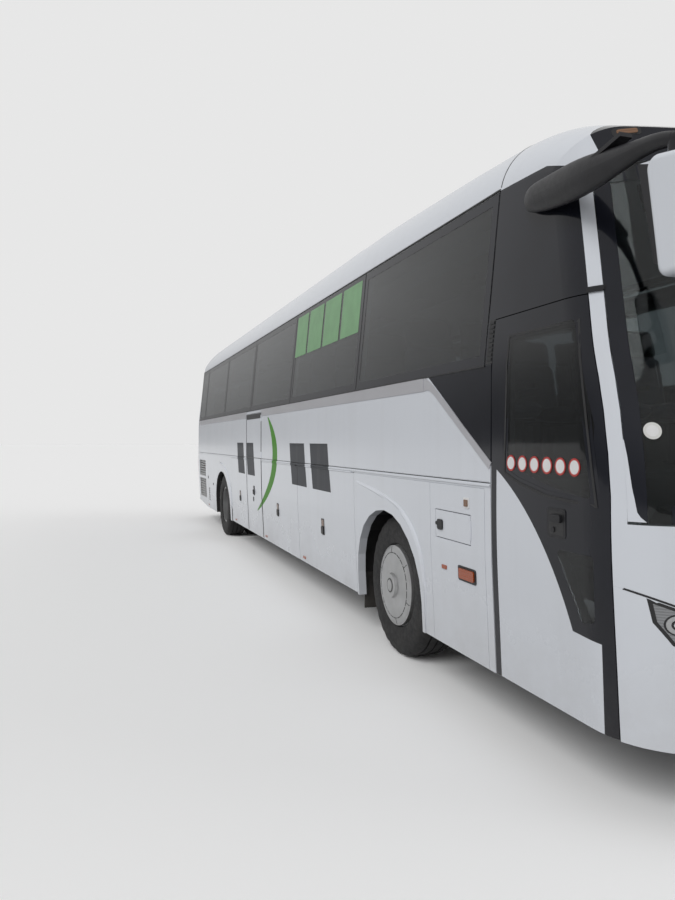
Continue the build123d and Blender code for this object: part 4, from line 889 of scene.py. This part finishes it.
STICKER_TURN, STICKER_Z, STICKER_R = 49.3, 1.575, 0.034
spot = onto("windscreen", right_corner)
for r, low, high, which in ((1.0, 0.001, -0.0012, 0), (0.66, 0.0, -0.0018, 1)):
    rings = []
    for share, depth in ((1.0, low), (1.0, high), (0.6, high), (0.2, high), (0.01, high)):
        rings.append([spot(STICKER_TURN + math.degrees(u / FRONT_CORNER), STICKER_Z + v, depth)
                      for u, v in disc(0, 0, STICKER_R * r * share, 28)])
    build.rings(rings, which=which)
build.piece("windscreen_sticker", PLATE, WHITE_FILM, slot="white_paint")

# Heights of the windscreen's lower corner and the turn where its white edge ends.
SCREEN_CORNER = ((1.212, 43.0), (1.24, 38.0), (1.34, 35.4), (1.45, 34.0), (1.54, 32.6))
for place in CORNERS:
    spot = onto("windscreen", place)
    rings = []
    for z in spread(SCREEN_CORNER[0][0], SCREEN_CORNER[-1][0], 17):
        turns = spread(SCREEN_TURN + 0.1, between(SCREEN_CORNER, z)[1], 6)
        rings.append([spot(turn, z, -0.0014) for turn in turns])
    build.rings(rings, closed=False, caps=False)
build.piece("windscreen_corners", "white_paint")

spot = onto("front_cap", on_front)
for x in (-1.0, -0.5, 0.0, 0.5, 1.0):
    build.cover(rounded(x - 0.05, x + 0.05, 2.885, 2.925, 0.012), spot, 0.002, -0.0015)
    build.cover(rounded(x - 0.036, x + 0.036, 2.893, 2.917, 0.008), spot, -0.001, -0.005, which=1)
build.piece("cap_marker_lamps", DARK, BROWN_LENS, slot="lamp_lens")

# Dark joints of the roof and the waist groove; bright crests of the wheel arches.


def around_roof(u, v, depth):
    """Point at a station and an angle up from the right-hand side, about the cabin's middle."""
    a = math.radians(v)
    outward = Vector((-math.cos(a), 0, math.sin(a)))
    return Vector((0, st(u), 1.9)) + outward * (1.3 - depth)


GROOVE_Z = 1.315
WALLS = onto("side_wall_right", on_right), onto("side_wall_left", on_left)
roof_joint = [(-1.387, 37 + k) for k in range(107)]
build.ribbon(roof_joint, onto("roof_panel", around_roof, 0.4), 0.008, 0.002, -0.0012)
for wall, spans in zip(WALLS, (((-1.44, 4.03), (4.99, 9.6)), ((-1.44, 9.6),))):
    for first, last in spans:
        build.ribbon(run((first, GROOVE_Z), (last, GROOVE_Z), step=0.4), wall, 0.009, 0.001, -0.0006)
build.piece("body_joints", DARK, slot="black_plastic")

build.ribbon(run((4.06, GROOVE_Z), (4.97, GROOVE_Z)), onto("mid_door", on_right), 0.009, 0.001, -0.0006)
build.piece("mid_door_groove", DARK, body="mid_door", slot="black_plastic")

CRESTS = (((0.6, 1.214), (0.101, 1.148), (-0.3, 1.05), (-0.54, 0.868), (-0.616, 0.62), (-0.61, 0.4)),
          ((7.24, 1.181), (6.77, 1.118), (6.45, 0.97), (6.252, 0.76), (6.193, 0.5)))
CREST_PROFILE = ((-1.0, -0.3), (-0.75, 0.7), (-0.45, 1.0), (0.1, 0.62), (1.0, -0.3))
for wall in WALLS:
    for crest in CRESTS:
        build.bead(smooth_path(crest), wall, 0.046, 0.013, CREST_PROFILE)
build.piece("arch_crests", "white_paint")

# Mirror shells and glasses.

SHELL_BACK = ((-2.772, 2.092), (-2.702, 2.536))


def is_shell(centre, normal):
    (s0, z0), (s1, z1) = SHELL_BACK
    back = s0 + (s1 - s0) * (centre.z - z0) / (z1 - z0)
    return centre.z < 2.54 and centre.y - AXLE_Y < back + 0.001 and normal.y < 0.8


second_material("mirrors", MATERIAL["white_paint"], is_shell)


def mirror_place(sign):
    low, high = Vector((0, st(-2.748), 2.15)), Vector((0, st(-2.662), 2.52))
    up = (high - low).normalized()
    back = Vector((0, up.z, -up.y))
    return lambda u, v, depth: low + up * v - back * depth + Vector((sign * u, 0, 0))


MIRROR_GLASSES = ((1.2, 1.375, 0.125, 0.355, 0.03, 0.001, -0.003),
                  (1.2, 1.375, 0.022, 0.11, 0.025, 0.001, -0.003))
for sign in (-1, 1):
    build.tiles(MIRROR_GLASSES, mirror_place(sign))
build.piece("mirror_glasses", MIRROR_GLASS, slot="glass")

# Front wheel covers: dashed ring, radial cuts and a plain centre disc; nuts on the rear wheels.


def wheel_place(name, sign, station):
    """Places on a wheel's face, as far out as the node itself stands at each radius."""
    outs = {}

    def place(u, v, depth):
        r = round(math.hypot(u, v), 4)
        if r not in outs:
            y, z = st(station) + r * math.cos(0.21), WHEEL_Z + r * math.sin(0.21)
            _, spot, _, _ = nodes[name].ray_cast(Vector((sign * 2.0, y, z)), Vector((-sign, 0, 0)))
            outs[r] = abs(spot.x)
        return Vector((sign * (outs[r] - depth), st(station) + u, WHEEL_Z + v))
    return place


DASH_R, NUT_CIRCLE_R = 0.232, 0.1675
for side, sign in (("left", 1), ("right", -1)):
    place = wheel_place(f"front_rim_{side}", sign, 0.0)
    for a in range(0, 360, 15):
        build.ribbon([polar(DASH_R, b) for b in spread(a, a + 12.5, 3)], place, 0.006, 0.001, -0.0008)
    for a in range(20, 360, 60):
        build.ribbon([polar(r, a) for r in (0.236, 0.25, 0.264, 0.276)], place, 0.005, 0.001, -0.0008)
    build.ribbon(disc(0, 0, 0.047, 24), place, 0.008, 0.001, -0.001, closed=True)
    build.plate(disc(0, 0, 0.04), place, 0.0, -0.003, which=1)
    build.piece(f"wheel_cover_lines_{side}", DARK, "wheel_metal", slot="wheel_metal",
                body=f"front_wheel_{side}")
    out = wheel_place(f"rear_rims_{side}", sign, WHEELBASE)(NUT_CIRCLE_R, 0.0, 0.0).x
    for u, v in disc(st(WHEELBASE), WHEEL_Z, NUT_CIRCLE_R, 10):
        for r, low, high in ((0.0165, -0.004, 0.022), (0.011, 0.02, 0.03)):
            build.rings([[(out + sign * x, a, b) for a, b in disc(u, v, r, 6)] for x in (low, high)])
    build.piece(f"rear_wheel_nuts_{side}", "wheel_metal", body=f"rear_wheels_{side}")

# Lamp insides, fog lamps, the blank plates of both ends and the front bumper's joint.

HEADLAMP = ((1.165, 0.903), (1.096, 0.876), (0.74, 0.85), (0.69, 0.77), (0.73, 0.69), (0.98, 0.694),
            (1.095, 0.738), (1.15, 0.82), (1.165, 0.903))
REFLECTORS = ((1.085, 0.815, 0.042), (0.985, 0.785, 0.052), (0.865, 0.775, 0.055), (0.76, 0.77, 0.04))
# Discs of a lamp: share of its radius, points, two depths and which material; of a fog lamp: radius first.
LAMP_DISCS = ((1.0, 24, 0.001, -0.001), (0.86, 24, -0.0005, -0.002, 1), (0.5, 20, -0.0015, -0.003),
              (0.34, 16, -0.0025, -0.005, 2))
FOG_LAMP = ((0.055, 0.001, -0.002), (0.043, -0.001, -0.004, 2))
nose = onto("headlamps front_bumper front_panel", on_front)
for sign in (-1, 1):
    outline = run(*[(sign * x, z) for x, z in HEADLAMP], step=0.04)[:-1]
    build.ribbon(outline, nose, 0.012, 0.001, -0.0012, closed=True)
    for x, z, r in REFLECTORS:
        for share, points, *rest in LAMP_DISCS:
            build.cover(disc(sign * x, z, r * share, points), nose, *rest)
    for r, *rest in FOG_LAMP:
        build.cover(disc(sign * 0.82, 0.5, r, 28), nose, *rest)
build.piece("front_lamp_insides", DARK, "wheel_metal", "lamp_lens", slot="lamp_lens")

for place, z in ((nose, 0.725), (onto("rear_bumper", on_rear), 0.565)):
    build.cover(rounded(-0.27, 0.27, z - 0.065, z + 0.065, 0.012), place, 0.001, -0.0015)
    build.cover(rounded(-0.258, 0.258, z - 0.053, z + 0.053, 0.01), place, -0.001, -0.0028, which=1)
build.piece("blank_plates", "black_plastic", PLATE, slot="white_paint")

BUMPER_EDGE = ((1.224, 0.94), (1.16, 0.915), (1.096, 0.89), (0.6, 0.862))
for sign in (-1, 1):
    build.ribbon(run(*[(sign * x, z) for x, z in BUMPER_EDGE], step=0.012), nose, 0.008, 0.001, -0.002)
build.ribbon(run((-0.6, 0.862), (0.6, 0.862), step=0.05), nose, 0.008, 0.001, -0.0015)
build.piece("bumper_joint", DARK, slot="black_plastic")

# Rear face and exhaust.

for x in (-1, 1):
    build.plate(disc(x * 0.93, 0.6, 0.035), on_rear, 0.001, -0.006)
    build.tiles([(x * 0.78 - 0.07, x * 0.78 + 0.07, 0.44, 0.47, 0.01, 0.001, -0.006)], on_rear)
build.cover(rounded(-0.22, 0.22, 2.76, 2.785, 0.008), onto("rear_wall", on_rear), 0.001, -0.008)
build.piece("rear_reflectors", "lamp_red")

ENGINE_HANDLE = ((-0.075, 0.075, 0.745, 0.785, 0.012, 0.001, -0.004),
                 (-0.06, 0.06, 0.753, 0.777, 0.008, -0.003, -0.0065))
build.tiles(ENGINE_HANDLE, on_rear)
build.piece("engine_door_handle", "black_plastic", body="engine_door")

for s0, s1, r in ((9.6, 9.86, 0.046), (9.84, 10.09, 0.05)):
    build.tube([(-0.62, st(s0), 0.31), (-0.62, st(s1), 0.3)], r, 18)
build.piece("exhaust_tail", "engine_iron")

# Inside: parcel racks, instruments and the dark sign box behind the windscreen.

RACK = ((1.12, 2.6), (0.82, 2.555), (0.75, 2.575), (0.73, 2.62), (0.75, 2.665), (0.81, 2.68), (1.1, 2.735))
RACK_ENDS = ((-1.2, 0.02), (-1.18, 0.0), (9.38, 0.0), (9.4, 0.02))
for sign in (-1, 1):
    build.rings([[(sign * (x + inset), st(s), z) for x, z in RACK] for s, inset in RACK_ENDS])
    for s in spread(-0.75, 8.85, 12):
        build.box((sign * 0.9 - 0.07, st(s), 2.545), (sign * 0.9 + 0.07, st(s + 0.16), 2.58), which=1)
build.piece("parcel_racks", LINING, "black_plastic", slot="grey_plastic")


def dash_face(u, v, depth):
    return Vector((u, st(-2.18) - depth, v))


DIALS = ((0.685, 1.14, 0.05), (0.815, 1.14, 0.05), (0.595, 1.11, 0.028), (0.905, 1.11, 0.028))
face = onto("dashboard", dash_face, 0.3)
for x, z, r in DIALS:
    build.ribbon(disc(x, z, r, 24), face, 0.006, 0.001, -0.006, closed=True)
    build.plate(disc(x, z, r * 0.95, 24), face, 0.001, -0.002, which=1)
build.tiles([(x, x + 0.045, 1.08, 1.11, 0.006, 0.001, -0.006) for x in spread(0.1, 0.41, 5)], face)
build.tiles([(0.12, 0.42, 1.13, 1.21, 0.012, 0.001, -0.006, 1)], face)
build.piece("instruments", "trim_metal", DARK, slot="black_plastic")

SIGN = run((-0.9, 2.56), (0.9, 2.56), (0.9, 2.69), (-0.9, 2.69), (-0.9, 2.56), step=0.1)[:-1]
build.plate(SIGN, on_front, 0.16, 0.12)
build.piece("sign_box", "black_plastic")

# Roof hatches.


def on_roof(u, v, depth):
    _, spot, normal, _ = nodes["roof_panel"].ray_cast(Vector((u, st(v), 6.0)), Vector((0, 0, -1)))
    return spot - normal * depth


for s in (1.9, 7.9):
    for half, low, high in ((0.36, 0.001, -0.022), (0.325, -0.02, -0.034)):
        build.cover(rounded(-half, half, s + 0.02 - half, s - 0.02 + half, 0.06), on_roof, low, high)
build.piece("roof_hatches", "white_paint")

# The roof unit's faired cover, each ring a half width and a share of the rise to the flat top.

UNIT_FORM = ((0.815, 0.0), (0.795, 0.12), (0.7, 0.34), (0.6, 0.565), (0.5, 0.81), (0.44, 0.94),
             (0.38, 0.99), (0.34, 1.0))
UNIT_MIDDLE, UNIT_REACH, UNIT_RAKE, UNIT_CORNER, UNIT_PARTS = 4.8, 1.495, 0.35, 0.14, 12
unit_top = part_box("roof_air_unit")[1].z
rings = []
for half, share in UNIT_FORM:
    along = UNIT_REACH - (UNIT_FORM[0][0] - half) * UNIT_RAKE
    outline = rounded(-half, half, UNIT_MIDDLE - along, UNIT_MIDDLE + along, UNIT_CORNER, 6)
    feet = []
    for a, b in zip(outline, outline[1:] + outline[:1]):
        count = UNIT_PARTS if math.dist(a, b) > UNIT_CORNER else 1
        feet += [on_roof(*part_way(a, b, k / count), 0.0) for k in range(count)]
    rings.append([Vector((p.x, p.y, p.z + (unit_top - p.z) * share)) for p in feet])
build.rings(rings)
build.piece("roof_unit_cover", unit_paint(), slot="white_paint", replaces=["roof_air_unit"])

# Camera, floor and light.

CAMERA = (-3.2367, -4.77877, 1.53456)
CAMERA_YAW, CAMERA_PITCH = 18.56, -0.72
FOCAL_PIXELS = 722.47
LONG_SIDE = 900
SENSOR = 36.0

camera_data = bpy.data.cameras.new("camera")
camera_data.sensor_width = SENSOR
camera_data.lens = FOCAL_PIXELS * SENSOR / LONG_SIDE
camera_data.clip_end = 300.0
camera = bpy.data.objects.new("camera", camera_data)
scene.collection.objects.link(camera)
camera.location = (CAMERA[0], st(CAMERA[1]), CAMERA[2])
camera.rotation_euler = (math.radians(90 + CAMERA_PITCH), 0.0, math.radians(-CAMERA_YAW))
scene.camera = camera

BACKDROP = 0.8
REFLECTED_LOW, REFLECTED_HIGH = 0.22, 0.75
LIGHT_LOW, LIGHT_HIGH = 0.8, 0.34
KEY_SHARE = 0.3
FILL_SHARE = 0.055
FLOOR_LIGHT = (LIGHT_LOW / 2 + (LIGHT_HIGH - LIGHT_LOW) / 3) * 2 + KEY_SHARE + FILL_SHARE
FLOOR_SEEN = BACKDROP / FLOOR_LIGHT

FLOOR_HALF = 300
CORNER_SIGNS = ((-1, -1), (1, -1), (1, 1), (-1, 1))
floor = bpy.data.objects.new("floor", bpy.data.meshes.new("floor"))
floor.data.from_pydata([(FLOOR_HALF * x, FLOOR_HALF * y, 0.0) for x, y in CORNER_SIGNS], [], [(0, 1, 2, 3)])
scene.collection.objects.link(floor)
g = Graph("floor", (0.6, 0.6, 0.6), Roughness=1.0, Specular_IOR_Level=0.0)
rays = g.add("ShaderNodeLightPath").outputs
reflected = g.math("MAXIMUM", rays["Is Glossy Ray"], rays["Is Transmission Ray"])
seen = g.math("MAXIMUM", rays["Is Camera Ray"], reflected)
g.color(g.mix(seen, (0.45,) * 3, (FLOOR_SEEN,) * 3))
floor.data.materials.append(g.material)

world = bpy.data.worlds.new("world")
scene.world = world
world.use_nodes = True
sky = Tree(world.node_tree)
rays = sky.add("ShaderNodeLightPath").outputs
height = sky.split(sky.add("ShaderNodeTexCoord").outputs["Generated"])[2]
level = sky.span(height, 0.0, 1.0, LIGHT_LOW, LIGHT_HIGH)
reflected = sky.span(height, 0.02, 0.26, REFLECTED_LOW, REFLECTED_HIGH)
for ray, value in (("Is Glossy Ray", reflected), ("Is Transmission Ray", BACKDROP),
                   ("Is Camera Ray", BACKDROP)):
    step = sky.add("ShaderNodeMix")
    for number, item in ((0, rays[ray]), (2, level), (3, value)):
        sky.put(item, step.inputs[number])
    level = step.outputs[0]
background = world.node_tree.nodes["Background"]
sky.put(level, background.inputs["Strength"])
background.inputs["Color"].default_value = (1.0, 1.0, 1.0, 1.0)

# Distant studio lights with soft shadows: where each comes from and its share of the floor's light.
LIGHTS = {"key": (Vector((-0.627, -0.439, 0.643)), KEY_SHARE),
          "fill": (Vector((0.811, -0.324, 0.487)), FILL_SHARE)}
for name, (place, share) in LIGHTS.items():
    light = bpy.data.lights.new(name, "SUN")
    light.energy = share * math.pi / place.z
    light.angle = math.radians(35)
    item = bpy.data.objects.new(name, light)
    scene.collection.objects.link(item)
    item.rotation_euler = (-place).to_track_quat("-Z", "Y").to_euler()
    item.visible_glossy = False

scene.view_settings.view_transform = "Standard"
